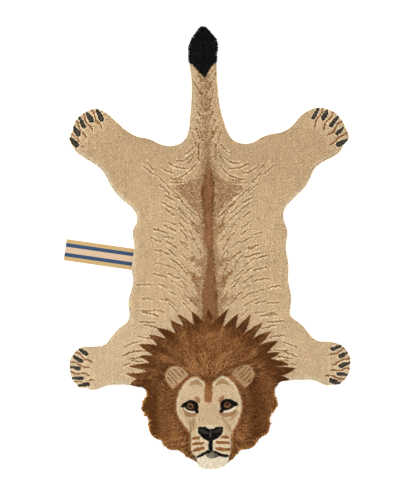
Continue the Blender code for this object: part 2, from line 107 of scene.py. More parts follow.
# The canvas backing: one piece of stiff cotton canvas cut to the pelt's outline, latexed, 2.6 mm thick.
# All the pile is tufted through it. It rides up a little over the label, which is sewn under its edge.
Station = namedtuple("Station", "place left_x left_y right_x right_y")
TAIL_TIP = (-8, 749)
CHIN_TIP = (27, -748)
PELT_STATIONS = [Station(*row) for row in (
    ("tuft upper", -31, 728, 19, 728),
    ("tuft shoulder", -51, 693, 43, 692),
    ("tuft widest", -56, 648, 40, 655),
    ("tuft foot", -53, 617, 40, 622),
    ("tail upper", -49, 590, 41, 594),
    ("tail middle", -46, 533, 44, 533),
    ("tail lower", -50, 459, 55, 459),
    ("tail foot", -53, 428, 64, 428),
    ("tail root", -56, 397, 74, 399),
    ("tail notch", -74, 362, 94, 367),
    ("rump hollow", -107, 347, 127, 354),
    ("rump", -144, 349, 156, 356),
    ("rump crest", -184, 367, 201, 379),
    ("rump corner", -204, 373, 230, 387),
    ("thigh top", -225, 376, 259, 392),
    ("shin top", -272, 402, 296, 415),
    ("shin hollow", -291, 420, 313, 436),
    ("hind ankle top", -310, 437, 333, 455),
    ("hind heel top", -340, 461, 364, 471),
    ("hind paw top", -367, 471, 388, 475),
    ("hind toe corner", -401, 462, 422, 467),
    ("first hind toe", -418, 452, 439, 459),
    ("second hind toe", -432, 438, 453, 445),
    ("third hind toe", -443, 420, 466, 428),
    ("fourth hind toe", -448, 400, 476, 408),
    ("fifth hind toe", -454, 384, 483, 391),
    ("hind toes end", -459, 367, 487, 374),
    ("hind paw heel", -442, 333, 468, 347),
    ("hind paw sole", -429, 317, 457, 325),
    ("hind ankle low", -410, 305, 438, 311),
    ("shin low", -367, 277, 388, 283),
    ("shin bend", -349, 262, 369, 265),
    ("hock", -336, 243, 358, 242),
    ("thigh low", -313, 200, 340, 208),
    ("flank hollow", -282, 164, 302, 169),
    ("flank notch", -245, 132, 271, 134),
    ("waist", -230, 100, 265, 107),
    ("loin", -245, 56, 279, 56),
    ("side upper", -240, 5, 274, 2),
    ("side middle", -245, -49, 283, -56),
    ("side bulge", -248, -80, 282, -83),
    ("side lower", -244, -110, 282, -110),
    ("chest", -260, -185, 293, -171),
    ("chest low", -258, -209, 290, -198),
    ("armpit", -257, -232, 289, -226),
    ("armpit corner", -263, -249, 302, -240),
    ("shoulder", -277, -261, 317, -251),
    ("shoulder round", -296, -275, 334, -266),
    ("shoulder low", -312, -293, 347, -283),
    ("fore arm top", -340, -326, 378, -312),
    ("fore wrist top", -381, -333, 428, -317),
    ("fore paw top", -422, -337, 462, -329),
    ("first fore toe", -448, -363, 487, -359),
    ("second fore toe", -457, -379, 492, -378),
    ("third fore toe", -458, -398, 491, -397),
    ("fourth fore toe", -456, -420, 490, -415),
    ("fifth fore toe", -451, -442, 482, -431),
    ("fore toes end", -439, -458, 471, -448),
    ("fore paw heel", -425, -472, 457, -460),
    ("fore paw sole", -403, -474, 441, -462),
    ("fore heel", -381, -481, 424, -465),
    ("fore heel end", -355, -475, 405, -464),
    ("fore wrist low", -330, -466, 388, -457),
    ("fore arm low", -296, -464, 362, -447),
    ("elbow", -262, -464, 333, -447),
    ("mane corner", -232, -470, 278, -450),
    ("mane corner hollow", -210, -471, 249, -458),
    ("mane notch", -194, -490, 232, -483),
    ("mane lobe", -207, -522, 240, -515),
    ("mane lobe tip", -212, -543, 243, -529),
    ("cheek", -194, -569, 220, -565),
    ("cheek hollow", -188, -585, 217, -582),
    ("cheek low", -187, -601, 217, -598),
    ("jowl", -180, -629, 208, -624),
    ("jowl lobe", -161, -646, 180, -646),
    ("jowl bend", -147, -649, 171, -658),
    ("jowl hollow", -139, -662, 163, -668),
    ("beard lobe", -113, -682, 137, -680),
    ("beard bend", -96, -681, 124, -680),
    ("beard", -80, -688, 113, -687),
    ("beard end", -52, -708, 95, -709),
    ("jaw", -30, -722, 82, -719),
    ("chin side", -21, -739, 73, -733),
    ("chin", 5, -749, 49, -745),
)]
CANVAS_THICK = 0.0026
CANVAS_INSET = 0.0035
CANVAS_STEP = 0.018
PELT_STEP = 0.004
LABEL_END = Vector((-0.4735, -0.0055))
LABEL_TURN = math.radians(-8.2)
LABEL_LENGTH, LABEL_WIDTH = 0.255, 0.073
RISE_OVER_LABEL = 0.0017
RISE_FADES = (0.022, 0.060)
THREAD_SCALE = 310.0
MARK_STEP = 0.0008
SPOTS_AT_ONCE = 4000
CLOSER_ROWS, SLAB_MARGIN = 0.9, 0.45


def drawn_curve(knots, closed=True):
    """The points of a smooth line through knots given in millimetres."""
    data = bpy.data.curves.new("chalk line", "CURVE")
    data.resolution_u = 12
    spline = data.splines.new("BEZIER")
    spline.bezier_points.add(len(knots) - 1)
    for knot, (x, y) in zip(spline.bezier_points, knots):
        knot.co = (x * MM, y * MM, 0)
        knot.handle_left_type = knot.handle_right_type = "AUTO"
    spline.use_cyclic_u = closed
    chalk = bpy.data.objects.new("chalk line", data)
    scene.collection.objects.link(chalk)
    bpy.context.view_layer.update()
    mesh = bpy.data.meshes.new_from_object(chalk.evaluated_get(bpy.context.evaluated_depsgraph_get()))
    line = np.array([v.co[:2] for v in mesh.vertices])
    bpy.data.objects.remove(chalk)
    bpy.data.meshes.remove(mesh)
    return line


def spaced(line, step, closed=True):
    """Points along a line at even distances of about one step."""
    if closed:
        line = np.vstack([line, line[:1]])
    run = np.concatenate([[0.0], np.cumsum(np.linalg.norm(np.diff(line, axis=0), axis=1))])
    wanted = np.linspace(0.0, run[-1], max(3, round(run[-1] / step) + 1))
    if closed:
        wanted = wanted[:-1]
    return np.column_stack([np.interp(wanted, run, line[:, 0]), np.interp(wanted, run, line[:, 1])])


def unit(ways):
    """The same ways, each one unit long."""
    return ways / np.linalg.norm(ways, axis=1)[:, None]


def outward(ring):
    """For each point of an anticlockwise ring, the way straight out of it."""
    along = np.roll(ring, -1, axis=0) - np.roll(ring, 1, axis=0)
    return unit(np.column_stack([along[:, 1], -along[:, 0]]))


def within(spots, ring):
    """Which of the spots lie inside a closed line."""
    (x0, y0), (x1, y1) = ring.T, np.roll(ring, -1, axis=0).T
    level = np.where(y1 == y0, 1.0, y1 - y0)
    held = []
    for some in np.array_split(spots, len(spots) // SPOTS_AT_ONCE + 1):
        x, y = some[:, :1], some[:, 1:]
        crossed = ((y0 > y) != (y1 > y)) & (x < (x1 - x0) * (y - y0) / level + x0)
        held.append((crossed.sum(1) % 2) == 1)
    return np.concatenate(held)


def gap_to(spots, line):
    """The distance of each spot from a line."""
    start, run = line[:-1], np.diff(line, axis=0)
    length2 = np.maximum((run ** 2).sum(1), 1e-12)
    gaps = []
    for some in np.array_split(spots, len(spots) // SPOTS_AT_ONCE + 1):
        at = some[:, None, :] - start[None]
        share = np.clip((at * run).sum(2) / length2, 0, 1)
        gaps.append(np.linalg.norm(at - share[..., None] * run, axis=2).min(1))
    return np.concatenate(gaps)


def grid_in(ring, step, row=1.0):
    """Spots in staggered rows along Y, inside a ring."""
    low, high = ring.min(0), ring.max(0)
    xs = np.arange(math.floor(low[0] / step), high[0] / step) * step
    ys = np.arange(math.floor(low[1] / (step * row)), high[1] / (step * row)) * step * row
    across, along = np.meshgrid(xs, ys, indexing="ij")
    along = along + (np.arange(len(xs)) % 2)[:, None] * step * row / 2
    spots = np.column_stack([across.ravel(), along.ravel()])
    return spots[within(spots, ring)]


def nearest_on(spots, ring):
    """The distance of each spot from a closed line, within half a millimetre, and the way out of it there."""
    marks = spaced(ring, MARK_STEP)
    tree = KDTree(len(marks))
    for number, (x, y) in enumerate(marks):
        tree.insert((x, y, 0), number)
    tree.balance()
    found = [tree.find((x, y, 0)) for x, y in spots]
    return np.array([near[2] for near in found]), outward(marks)[[near[1] for near in found]]


def gap_to_ring(spots, ring):
    return nearest_on(spots, ring)[0]


def slab(name, ring, step, low, high):
    """A closed slab of cloth inside a ring: low and high give its underside and its top for spots."""
    inner = grid_in(ring, step, CLOSER_ROWS)
    spots = np.vstack([ring, inner[gap_to_ring(inner, ring) > step * SLAB_MARGIN]])
    edge = list(range(len(ring)))
    made = delaunay_2d_cdt([Vector(p) for p in spots], [], [edge], 1, 1e-6)
    flat = np.array([tuple(p) for p in made[0]])
    under, over = low(flat), high(flat)
    cloth = bmesh.new()
    bottom = [cloth.verts.new((x, y, z)) for (x, y), z in zip(flat, under)]
    top = [cloth.verts.new((x, y, z)) for (x, y), z in zip(flat, over)]
    for face in made[2]:
        cloth.faces.new([top[i] for i in face])
        cloth.faces.new([bottom[i] for i in reversed(face)])
    number = {source: i for i, sources in enumerate(made[3]) for source in sources}
    rim = [number[i] for i in edge]
    for a, b in zip(rim, rim[1:] + rim[:1]):
        cloth.faces.new([bottom[a], bottom[b], top[b], top[a]])
    bmesh.ops.recalc_face_normals(cloth, faces=cloth.faces)
    mesh = bpy.data.meshes.new(name)
    cloth.to_mesh(mesh)
    cloth.free()
    piece = bpy.data.objects.new(name, mesh)
    scene.collection.objects.link(piece)
    return piece


def smooth_share(value, start, end):
    """0 up to the start, 1 from the end on, and a smooth way from one to the other between them."""
    share = np.clip((value - start) / (end - start), 0, 1)
    return share * share * (3 - 2 * share)


def over_label(spots):
    """How far the canvas rises over the label at each spot."""
    at = spots - np.array(LABEL_END)
    c, s = math.cos(LABEL_TURN), math.sin(LABEL_TURN)
    along, across = at[:, 0] * c + at[:, 1] * s, at[:, 1] * c - at[:, 0] * s
    gap = np.maximum(along - LABEL_LENGTH, np.abs(across) - LABEL_WIDTH / 2)
    return RISE_OVER_LABEL * (1 - smooth_share(gap, *RISE_FADES))


def joined(tree, *joins):
    """Links a shader's nodes. Each join names a node and its outlet, then a node and its inlet."""
    for source, outlet, target, inlet in joins:
        tree.links.new(source.outputs[outlet], target.inputs[inlet])


left_side = [(s.left_x, s.left_y) for s in PELT_STATIONS]
right_side = [(s.right_x, s.right_y) for s in PELT_STATIONS]
pelt = spaced(drawn_curve([TAIL_TIP, *left_side, CHIN_TIP, *reversed(right_side)]), PELT_STEP)
canvas_edge = pelt - outward(pelt) * CANVAS_INSET
canvas = slab("canvas_backing", canvas_edge, CANVAS_STEP, over_label,
              lambda spots: over_label(spots) + CANVAS_THICK)

canvas_cloth, tree, shader = matter("latexed canvas", {"Roughness": 0.92, "Specular IOR Level": 0.2})
where = tree.nodes.new("ShaderNodeTexCoord")
weave = tree.nodes.new("ShaderNodeMath")
weave.operation = "MULTIPLY"
for number, direction in enumerate("XY"):
    thread = dial(tree.nodes.new("ShaderNodeTexWave"), {"Scale": THREAD_SCALE, "Distortion": 0.6})
    thread.bands_direction = direction
    joined(tree, (where, "Object", thread, "Vector"), (thread, "Fac", weave, number))
tone = tree.nodes.new("ShaderNodeMix")
tone.data_type = "RGBA"
dial(tone, {"A": (0.36, 0.31, 0.24, 1.0), "B": (0.66, 0.60, 0.49, 1.0)})
lift = dial(tree.nodes.new("ShaderNodeBump"), {"Distance": 0.0004, "Strength": 0.6})
joined(tree, (weave, "Value", tone, "Factor"), (tone, "Result", shader, "Base Color"),
       (weave, "Value", lift, "Height"), (lift, "Normal", shader, "Normal"))
canvas.data.materials.append(canvas_cloth)
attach(canvas, "root")

# The body's pile: tan wool tufted in rows along the pelt, 3.4 mm apart, and shorn level. Every tuft is a
# bud of cut yarn of its own, and each takes the colour of the yarn that the tufter changed to there.
TUFT_PITCH = 0.0034
TUFT_RADIUS = 0.0022
TUFT_SHOWS = 0.0062
TUFT_WIDTH_VARIES = 0.08
TUFT_BENDS = 0.16
TuftRing = namedtuple("TuftRing", "along spread turn")
TUFT_FOOT, TUFT_SHOULDER = TuftRing(0.0, 1.06, 0.0), TuftRing(0.75, 0.94, 0.5)
SHOULDER_DROP = 0.62
RIM_PITCH = 0.0031
RIM_INSET = 0.0026
RIM_RADIUS, RIM_LEAN, RIM_SIDES = 0.0021, 0.0012, 5
# Painted shade and light on every tuft: its foot is darkened as shade between the tufts, its shoulder a
# little, and its domed end lightened.
TUFT_FOOT_PAINTED_SHADE = (0.64, 0.56, 0.46)
SHOULDER_PAINTED_SHADE, TUFT_END_PAINTED_LIGHT = 0.98, 1.06
HOLD_LEAST, HOLD_RANGE = 0.58, 0.62
SHUFFLE = np.array((7919.0, 6271.0))
TAN = (212, 185, 146)
TAN_FORE = (218, 194, 158)
TAN_HIND = (204, 176, 138)
TAN_PALE = (238, 218, 182)
TAN_LIT_EDGE = (232, 219, 190)
STROKE_BROWN = (146, 102, 46)
HEATHER_BROWN = (146, 96, 46)
SPINE_BROWN = (160, 115, 76)
SPINE_DARK = (118, 76, 42)
CLAW = (52, 46, 38)
CLAW_GREY = (86, 82, 72)
TOE_BROWN = (146, 92, 52)

rug_solid = BVHTree.FromObject(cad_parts["rug"], bpy.context.evaluated_depsgraph_get())


def yarn(tone):
    """A yarn's colour for the renderer, from its red, green and blue as the eye reads them."""
    share = np.array(tone, dtype=float) / 255
    return np.where(share <= 0.04045, share / 12.92, ((share + 0.055) / 1.055) ** 2.4)


def mixed(shades, other, share):
    """Yarn colours with a share of another colour in them."""
    return shades * (1 - share) + other * share


def pile_top(spots, missed):
    """The height of the rug's own solid at each spot, and a given height where there is none."""
    heights = []
    for x, y in spots:
        hit = rug_solid.ray_cast(Vector((x, y, 0.2)), Vector((0, 0, -1)))[0]
        heights.append(hit.z if hit else missed)
    return np.array(heights)


def drift(spots, size, seed, long=1.0):
    """Slow unevenness from -1 to 1 over the rug, drawn out so many times along it."""
    return np.array([noise.noise(Vector((x / size, y / size / long, seed))) for x, y in spots])


def built(name, places, faces, colours, material):
    """A piece of many small three-sided faces. The yarn's colour is on its points, its map looks down."""
    mesh = bpy.data.meshes.new(name)
    mesh.vertices.add(len(places))
    mesh.vertices.foreach_set("co", places.ravel())
    mesh.loops.add(faces.size)
    mesh.loops.foreach_set("vertex_index", faces.ravel().astype(np.int32))
    mesh.polygons.add(len(faces))
    mesh.polygons.foreach_set("loop_start", np.arange(0, faces.size, 3, dtype=np.int32))
    mesh.update(calc_edges=True)
    shades = mesh.color_attributes.new("yarn", "FLOAT_COLOR", "POINT")
    shades.data.foreach_set("color", np.column_stack([colours, np.ones(len(colours))]).ravel())
    flat = places[:, :2]
    low, size = flat.min(0), np.ptp(flat, axis=0)
    map_down = mesh.uv_layers.new(name="OFBake")
    map_down.data.foreach_set("uv", ((flat - low) / size)[faces.ravel()].ravel())
    mesh.materials.append(material)
    piece = bpy.data.objects.new(name, mesh)
    scene.collection.objects.link(piece)
    return piece


def tufts(name, spots, tops, shades, material, seed, radius=TUFT_RADIUS, shows=TUFT_SHOWS, lean=0, sides=4):
    """Buds of cut yarn: each is a small post with rounded, uneven sides and a domed end."""
    rng = np.random.default_rng(seed)
    count = len(spots)
    turn = rng.uniform(0, 2 * math.pi, count)
    wide = radius * rng.normal(1.0, TUFT_WIDTH_VARIES, count)
    bend = rng.normal(0, radius * TUFT_BENDS, (count, 2)) + lean
    corners = np.arange(sides) * 2 * math.pi / sides
    places = np.zeros((count, sides * 2 + 1, 3))
    for first, ring, drop in ((0, TUFT_FOOT, shows), (sides, TUFT_SHOULDER, radius * SHOULDER_DROP)):
        angle = turn[:, None] + corners[None] + ring.turn
        reach = (wide * ring.spread)[:, None]
        block = places[:, first:first + sides]
        block[..., 0] = spots[:, :1] + bend[:, :1] * ring.along + reach * np.cos(angle)
        block[..., 1] = spots[:, 1:] + bend[:, 1:] * ring.along + reach * np.sin(angle)
        block[..., 2] = (tops - drop)[:, None]
    places[:, -1, :2] = spots + bend
    places[:, -1, 2] = tops
    tile = []
    for k in range(sides):
        n = (k + 1) % sides
        tile += [(k, n, sides + n), (k, sides + n, sides + k), (sides + k, sides + n, 2 * sides)]
    faces = (np.arange(count)[:, None, None] * (2 * sides + 1) + np.array(tile)[None]).reshape(-1, 3)
    # painted shade at the foot and shoulder of each tuft, painted light on its end
    rings = [TUFT_FOOT_PAINTED_SHADE] * sides + [(SHOULDER_PAINTED_SHADE,) * 3] * sides
    colours = (shades[:, None, :] * np.array([*rings, (TUFT_END_PAINTED_LIGHT,) * 3])[None]).reshape(-1, 3)
    return built(name, places.reshape(-1, 3), faces, colours, material)


def strokes_on(spots, shades, line, width, tone, share=1.0):
    """Changes the yarn of every tuft that a drawn line passes over. No two tufts take it quite alike."""
    close = np.flatnonzero(((spots > line.min(0) - width) & (spots < line.max(0) + width)).all(1))
    near = close[gap_to(spots[close], line) < width / 2]
    uneven = np.abs(np.modf(spots[near] @ SHUFFLE)[0])
    held = np.clip(share * (HOLD_LEAST + HOLD_RANGE * uneven), 0, 1)[:, None]
    shades[near] = mixed(shades[near], yarn(tone), held)


# The yarn changes on the back: the brown stripe down the spine, with heathered ground at both sides of it,
# and on up the tail. Gaps are counted in millimetres from the middle of the spine.
Spine = namedtuple("Spine", "y x half_width beside")
SPINE = [Spine(*row) for row in (
    (-300, 17, 27, 25),
    (-195, 17, 27, 28),
    (-161, 17, 25.5, 26),
    (-127, 18, 23, 22),
    (-100, 17, 19, 20),
    (-76, 19, 14, 22),
    (-41, 20.5, 12, 26),
    (-9, 19.5, 9.5, 22),
    (25, 12, 15.5, 16),
    (93, 11.5, 16.5, 18),
    (127, 11, 18, 16),
    (161, 10.5, 21.5, 14),
    (195, 10.5, 22, 16),
    (229, 13, 19.5, 20),
    (264, 11, 11, 26),
    (301, 9, 1.5, 24),
    (340, 7, 0, 21),
    (380, 6, 0, 19),
    (420, 4, 0, 21),
    (465, 2, 0, 33),
    (540, 0, 0, 35),
    (600, -1, 0, 24),
)]
HeatherPatch = namedtuple("HeatherPatch", "place depth gap_0 y_0 gap_1 y_1 gap_2 y_2")
HEATHER_PATCHES = [HeatherPatch(*row) for row in (
    ("loin", 0.72, 12, 254, 122, 206, 18, 92),
    ("small of the back", 0.74, 14, 84, 68, 92, 18, 10),
    ("back", 0.8, 14, -36, 86, -30, 22, -74),
    ("between the shoulders", 0.84, 88, -64, 24, -98, 36, -160),
    ("withers", 0.76, 26, -172, 98, -152, 42, -202),
)]
HEATHER_CURVE = 9
HEATHER_FRAY = 0.0032
HEATHER_DEPTH = 0.62
HEATHER_FULL, HEATHER_FULLER_ON_TAIL = 1.6, 0.15
TAIL_STARTS = (0.30, 0.38)
HEATHER_ENDS, HEATHER_LESS_AT_END = (0.575, 0.60), 0.6


def spine_at(spots):
    """The middle of the spine at each spot, half its width, and how wide the heather is beside it."""
    ys = [s.y * MM for s in SPINE]
    return [np.interp(spots[:, 1], ys, [value * MM for value in column])
            for column in list(zip(*SPINE))[1:]]


def heather_on(spots, rng):
    """How strongly the ground is heathered with brown at each spot, from 0 to 1."""
    middle, half, beside = spine_at(spots)
    off_spine = np.abs(spots[:, 0] - middle)
    full = HEATHER_FULL + HEATHER_FULLER_ON_TAIL * smooth_share(spots[:, 1], *TAIL_STARTS)
    depth = np.clip(full * (1 - (off_spine - half) / beside), 0, 1) * HEATHER_DEPTH
    depth *= 1 - smooth_share(spots[:, 1], *HEATHER_ENDS) * HEATHER_LESS_AT_END
    folded = np.column_stack([off_spine, spots[:, 1]]) + rng.normal(0, HEATHER_FRAY, spots.shape)
    for patch in HEATHER_PATCHES:
        corners = np.array(patch[2:]).reshape(3, 2) * MM
        ends = np.roll(corners, -1, axis=0)
        share = np.linspace(0, 1, 8)[:-1, None]
        ring = []
        for start, end in zip(corners, ends):
            inward = corners.mean(0) - (start + end) / 2
            inward *= HEATHER_CURVE * MM * 4 / np.linalg.norm(inward)
            ring.append(start + (end - start) * share + inward * share * (1 - share) * 0.5)
        depth = np.where(within(folded, np.vstack(ring)), np.maximum(depth, patch.depth), depth)
    return depth


# Short hair strokes: one row of brown tufts with paler ones at both sides. On the back they are combed
# outwards and up from the spine, flatter the farther out they lie. They bow round the rump and cross on the
# hips. Both sides of the rug have the strokes of the table, and each is drawn a little differently.
Column = namedtuple("Column", "gap first_y last_y step length")
BACK_COLUMNS = [Column(*row) for row in (
    (7, 590, 462, 23, 24),
    (21, 578, 462, 26, 26),
    (42, 170, -205, 23, 32),
    (74, 180, -214, 24, 36),
    (110, 140, -226, 27, 38),
    (150, 60, -244, 38, 40),
    (192, -120, -240, 44, 36),
)]
COMB_RISE, COMB_FLATTER, COMB_LEAST = 57.0, 0.33, 6.0
COMB_STARTS = 50
HairStroke = namedtuple("HairStroke", "part gap_0 y_0 gap_1 y_1 sag")
HAIR_STROKES = [HairStroke(*row) for row in (
    ("tail", 24, 459, 14, 437, 0),
    ("tail", 31, 436, 19, 404, 1),
    ("tail root", 21, 398, 13, 362, 1),
    ("tail", 36, 409, 23, 372, 1),
    ("tail root", 47, 392, 34, 346, 1),
    ("tail root", 29, 352, 28, 297, 2),
    ("rump", 48, 344, 78, 317, 4),
    ("rump", 38, 326, 55, 286, 1),
    ("rump", 56, 312, 107, 292, 9),
    ("rump", 73, 270, 136, 287, 7),
    ("rump", 43, 282, 117, 234, 10),
    ("rump", 118, 255, 158, 274, 4),
    ("rump", 84, 233, 128, 238, 4),
    ("rump", 82, 221, 131, 221, 1),
    ("hip", 198, 294, 177, 268, 0),
    ("hip", 223, 278, 190, 248, 0),
    ("hip", 175, 250, 147, 222, 1),
    ("hip", 165, 213, 135, 185, 0),
    ("hip", 143, 213, 92, 164, 0),
    ("hip", 96, 158, 38, 108, 2),
    ("hip", 145, 176, 112, 158, 0),
    ("shoulder", 172, -236, 222, -222, -2),
    ("shoulder", 192, -250, 244, -247, 0),
    ("shoulder", 176, -272, 220, -261, -2),
    ("foreleg", 202, -309, 250, -301, 0),
    ("foreleg", 247, -318, 290, -336, -1),
    ("foreleg", 247, -347, 296, -362, -2),
    ("foreleg", 214, -346, 258, -346, 0),
    ("foreleg", 226, -366, 272, -372, 0),
    ("foreleg", 224, -383, 262, -380, 0),
    ("foreleg", 274, -390, 293, -397, 0),
)]
STROKE_WIDTH = 0.0054
STROKE_POINTS = 7
PALE_OFFSET = 0.0053
PALE_BELOW, PALE_ABOVE = 1.05, 0.75
BACK_STRENGTH = (0.58, 0.98)
TAIL_PARTS = ("tail", "tail root")
TAIL_LEAST, BODY_LEAST, STRENGTH_RANGE = 0.90, 0.70, 0.25


def combed(middle_x, side, gap, y, length, rng):
    """A hair stroke that starts beside the spine and follows the way that the back is combed."""
    wobble, line = rng.normal(0, 5), []
    for step in range(STROKE_POINTS):
        line.append((middle_x + side * gap, y))
        rise = max(COMB_LEAST, COMB_RISE - COMB_FLATTER * (gap - COMB_STARTS)) + wobble + rng.normal(0, 10)
        gap += length / (STROKE_POINTS - 1) * math.cos(math.radians(rise))
        y += length / (STROKE_POINTS - 1) * math.sin(math.radians(rise))
    return np.array(line) * MM


def hair_strokes():
    """Every hair stroke as a short bent line, with how strongly it shows."""
    rng = np.random.default_rng(11)
    share = np.linspace(0, 1, STROKE_POINTS)
    drawn = []
    for side in (-1, 1):
        for column in BACK_COLUMNS:
            lift = column.step * (0.5 if side > 0 else 0.15)
            for y in np.arange(column.first_y - lift, column.last_y, -column.step):
                middle = spine_at(np.array([[0, y * MM]]))[0][0] / MM
                gap, length = column.gap + rng.normal(0, 6), column.length * rng.normal(1.0, 0.16)
                line = combed(middle, side, gap, y + rng.normal(0, 3.5), length, rng)
                drawn.append((line, rng.uniform(*BACK_STRENGTH)))
        for row in HAIR_STROKES:
            middle = spine_at(np.array([[0, row.y_0 * MM]]))[0][0] / MM
            on_tail = row.part in TAIL_PARTS
            over, up = (0, 0) if on_tail else rng.normal(0, 3, 2)
            gaps = row.gap_0 + (row.gap_1 - row.gap_0) * share + over + rng.normal(0, 0.7, STROKE_POINTS)
            ys = row.y_0 + (row.y_1 - row.y_0) * share + up + rng.normal(0, 0.7, STROKE_POINTS)
            ys -= 4 * row.sag * share * (1 - share)
            line = np.column_stack([middle + side * gaps, ys]) * MM
            least = TAIL_LEAST if on_tail else BODY_LEAST
            drawn.append((line, rng.uniform(least, least + STRENGTH_RANGE)))
    return drawn


# The paws: five claws in charcoal yarn on each, wider at their inner ends and edged with pale yarn, and a
# wavy brown line between each two.
Claw = namedtuple("Claw", "paw tip_x tip_y heel_x heel_y half_width")
CLAWS = [Claw(*row) for row in (
    ("left hind", -367, 471, -347, 431, 8.4),
    ("left hind", -401, 459, -381, 428, 9.4),
    ("left hind", -427, 446, -406, 406, 7.2),
    ("left hind", -446, 412, -425, 380, 9.4),
    ("left hind", -456, 371, -430, 344, 9.4),
    ("right hind", 386, 476, 365, 437, 6.8),
    ("right hind", 416, 470, 398, 434, 8.4),
    ("right hind", 452, 448, 425, 411, 7.4),
    ("right hind", 470, 409, 444, 385, 7.4),
    ("right hind", 482, 368, 446, 346, 8.4),
    ("left fore", -427, -340, -397, -361, 7.4),
    ("left fore", -446, -366, -415, -384, 7.8),
    ("left fore", -457, -401, -422, -409, 6.8),
    ("left fore", -451, -440, -413, -441, 6.4),
    ("left fore", -431, -466, -392, -459, 7.4),
    ("right fore", 464, -330, 427, -343, 6.4),
    ("right fore", 484, -352, 453, -368, 7.4),
    ("right fore", 492, -387, 455, -400, 7.4),
    ("right fore", 485, -429, 447, -425, 6.8),
    ("right fore", 461, -460, 422, -446, 8.4),
)]
CLAW_SLIM, CLAW_FILLS = 0.42, 1.25
CLAW_EDGE = 0.0032
CLAW_TIP, CLAW_HEEL = 0.06, 0.6
GREY_WITHIN, GREY_SHARE = 0.55, 0.7
TOE_WIDTH, TOE_SHARE = 0.0054, 1.25
TOE_RUN, TOE_STARTS = 26, 0.006
TOE_WAVE, TOE_WAVES = 0.0030, 9
TOE_PALE_OFFSET, TOE_PALE_SHARE = 0.0040, 0.7
PAW_PALE_WIDTH, PAW_PALE_SHARE = 0.030, 0.22


def paint_paws(spots, shades, rng):
    """Changes the yarns of the paws' toes and claws."""
    for outer, inner in zip(CLAWS, CLAWS[1:]):
        if outer.paw != inner.paw:
            continue
        tip, heel = (np.array((outer.tip_x + inner.tip_x, outer.tip_y + inner.tip_y)) / 2 * MM,
                     np.array((outer.heel_x + inner.heel_x, outer.heel_y + inner.heel_y)) / 2 * MM)
        way = (heel - tip) / np.linalg.norm(heel - tip)
        side = np.array((-way[1], way[0]))
        start, end = tip - way * TOE_STARTS, heel + way * TOE_RUN * MM
        share = np.linspace(0, 1, 12)[:, None]
        line = start + (end - start) * share + side * TOE_WAVE * np.sin(share * TOE_WAVES + outer.tip_y)
        strokes_on(spots, shades, line, PAW_PALE_WIDTH, TAN_PALE, PAW_PALE_SHARE)
        strokes_on(spots, shades, line + side * TOE_PALE_OFFSET, TOE_WIDTH, TAN_PALE, TOE_PALE_SHARE)
        strokes_on(spots, shades, line, TOE_WIDTH, TOE_BROWN, TOE_SHARE)
    for claw in CLAWS:
        tip, heel = np.array((claw.tip_x, claw.tip_y)) * MM, np.array((claw.heel_x, claw.heel_y)) * MM
        run = heel - tip
        length = np.linalg.norm(run)
        along = np.clip((spots - tip) @ run / length ** 2, 0, 1)
        fullness = np.sin(np.clip(along * CLAW_FILLS, 0, 1) * math.pi / 2)
        half = claw.half_width * MM * (CLAW_SLIM + (1 - CLAW_SLIM) * fullness)
        line = np.array([tip + run * CLAW_TIP, heel - run / length * claw.half_width * CLAW_HEEL * MM])
        gap = gap_to(spots, line)
        shades[gap < half + CLAW_EDGE] = yarn(TAN_PALE)
        shades[gap < half] = yarn(CLAW)
        grey = (gap < half * GREY_WITHIN) & (rng.random(len(spots)) < GREY_SHARE)
        shades[grey] = yarn(CLAW_GREY)


back_strokes = hair_strokes()

# The body's ground: paler on the forelegs, most of all on the left one, and browner on the hind legs. The
# pile's edge is painted pale, partly as painted light, most where it faces the chin's end or the left. The
# spine's stripe is streaked.
FORE_REACH, HIND_REACH, TAIL_REACH = (0.10, 0.34), (0.12, 0.30), (0.38, 0.46)
FORE_SHARE, FORE_UNEVEN = 0.75, 0.25
TAIL_LESS_BROWN = 0.85
EDGE_LIGHT_FROM = (-0.20, -0.20)
EDGE_PALE_AND_LIT, EDGE_PALE_LESS_ON_TAIL, EDGE_PALE_MOST = 0.38, 0.25, 0.65
EDGE_PALE_ENDS, EDGE_PALE_BAND = (0.30, 0.42), (0.004, 0.020)
BROWN_LEAST, BROWN_RANGE, BROWN_MOST = 0.5, 0.7, 0.92
FLECKS, FLECKS_ON_TAIL, FLECKED_TAIL = 0.10, 0.16, (0.34, 0.46)
FLECK_SHARE = 0.55
STRIPE_FRAY = 0.0021
Drift = namedtuple("Drift", "size seed long strength")
STREAKS = (Drift(0.0042, 7.0, 7.0, 0.75), Drift(0.02, 7.5, 2.0, 0.3))
SLOW_TONES = (Drift(0.085, 3.0, 1.0, 0.035), Drift(0.022, 4.0, 1.0, 0.03))
ROW_TONES = (Drift(0.0062, 6.0, 14.0, 0.10), Drift(0.0075, 6.5, 1.0, 0.06))
UPPER_STRIPE, FADING_STRIPE, STRIPE_BORDER = (0.07, 0.15), (0.235, 0.295), (0.003, 0.011)
YARN_VARIES = 0.07


def drifted(spots, drifts):
    """The sum of several kinds of slow unevenness, each at its own strength."""
    return sum(drift(spots, kind.size, kind.seed, kind.long) * kind.strength for kind in drifts)


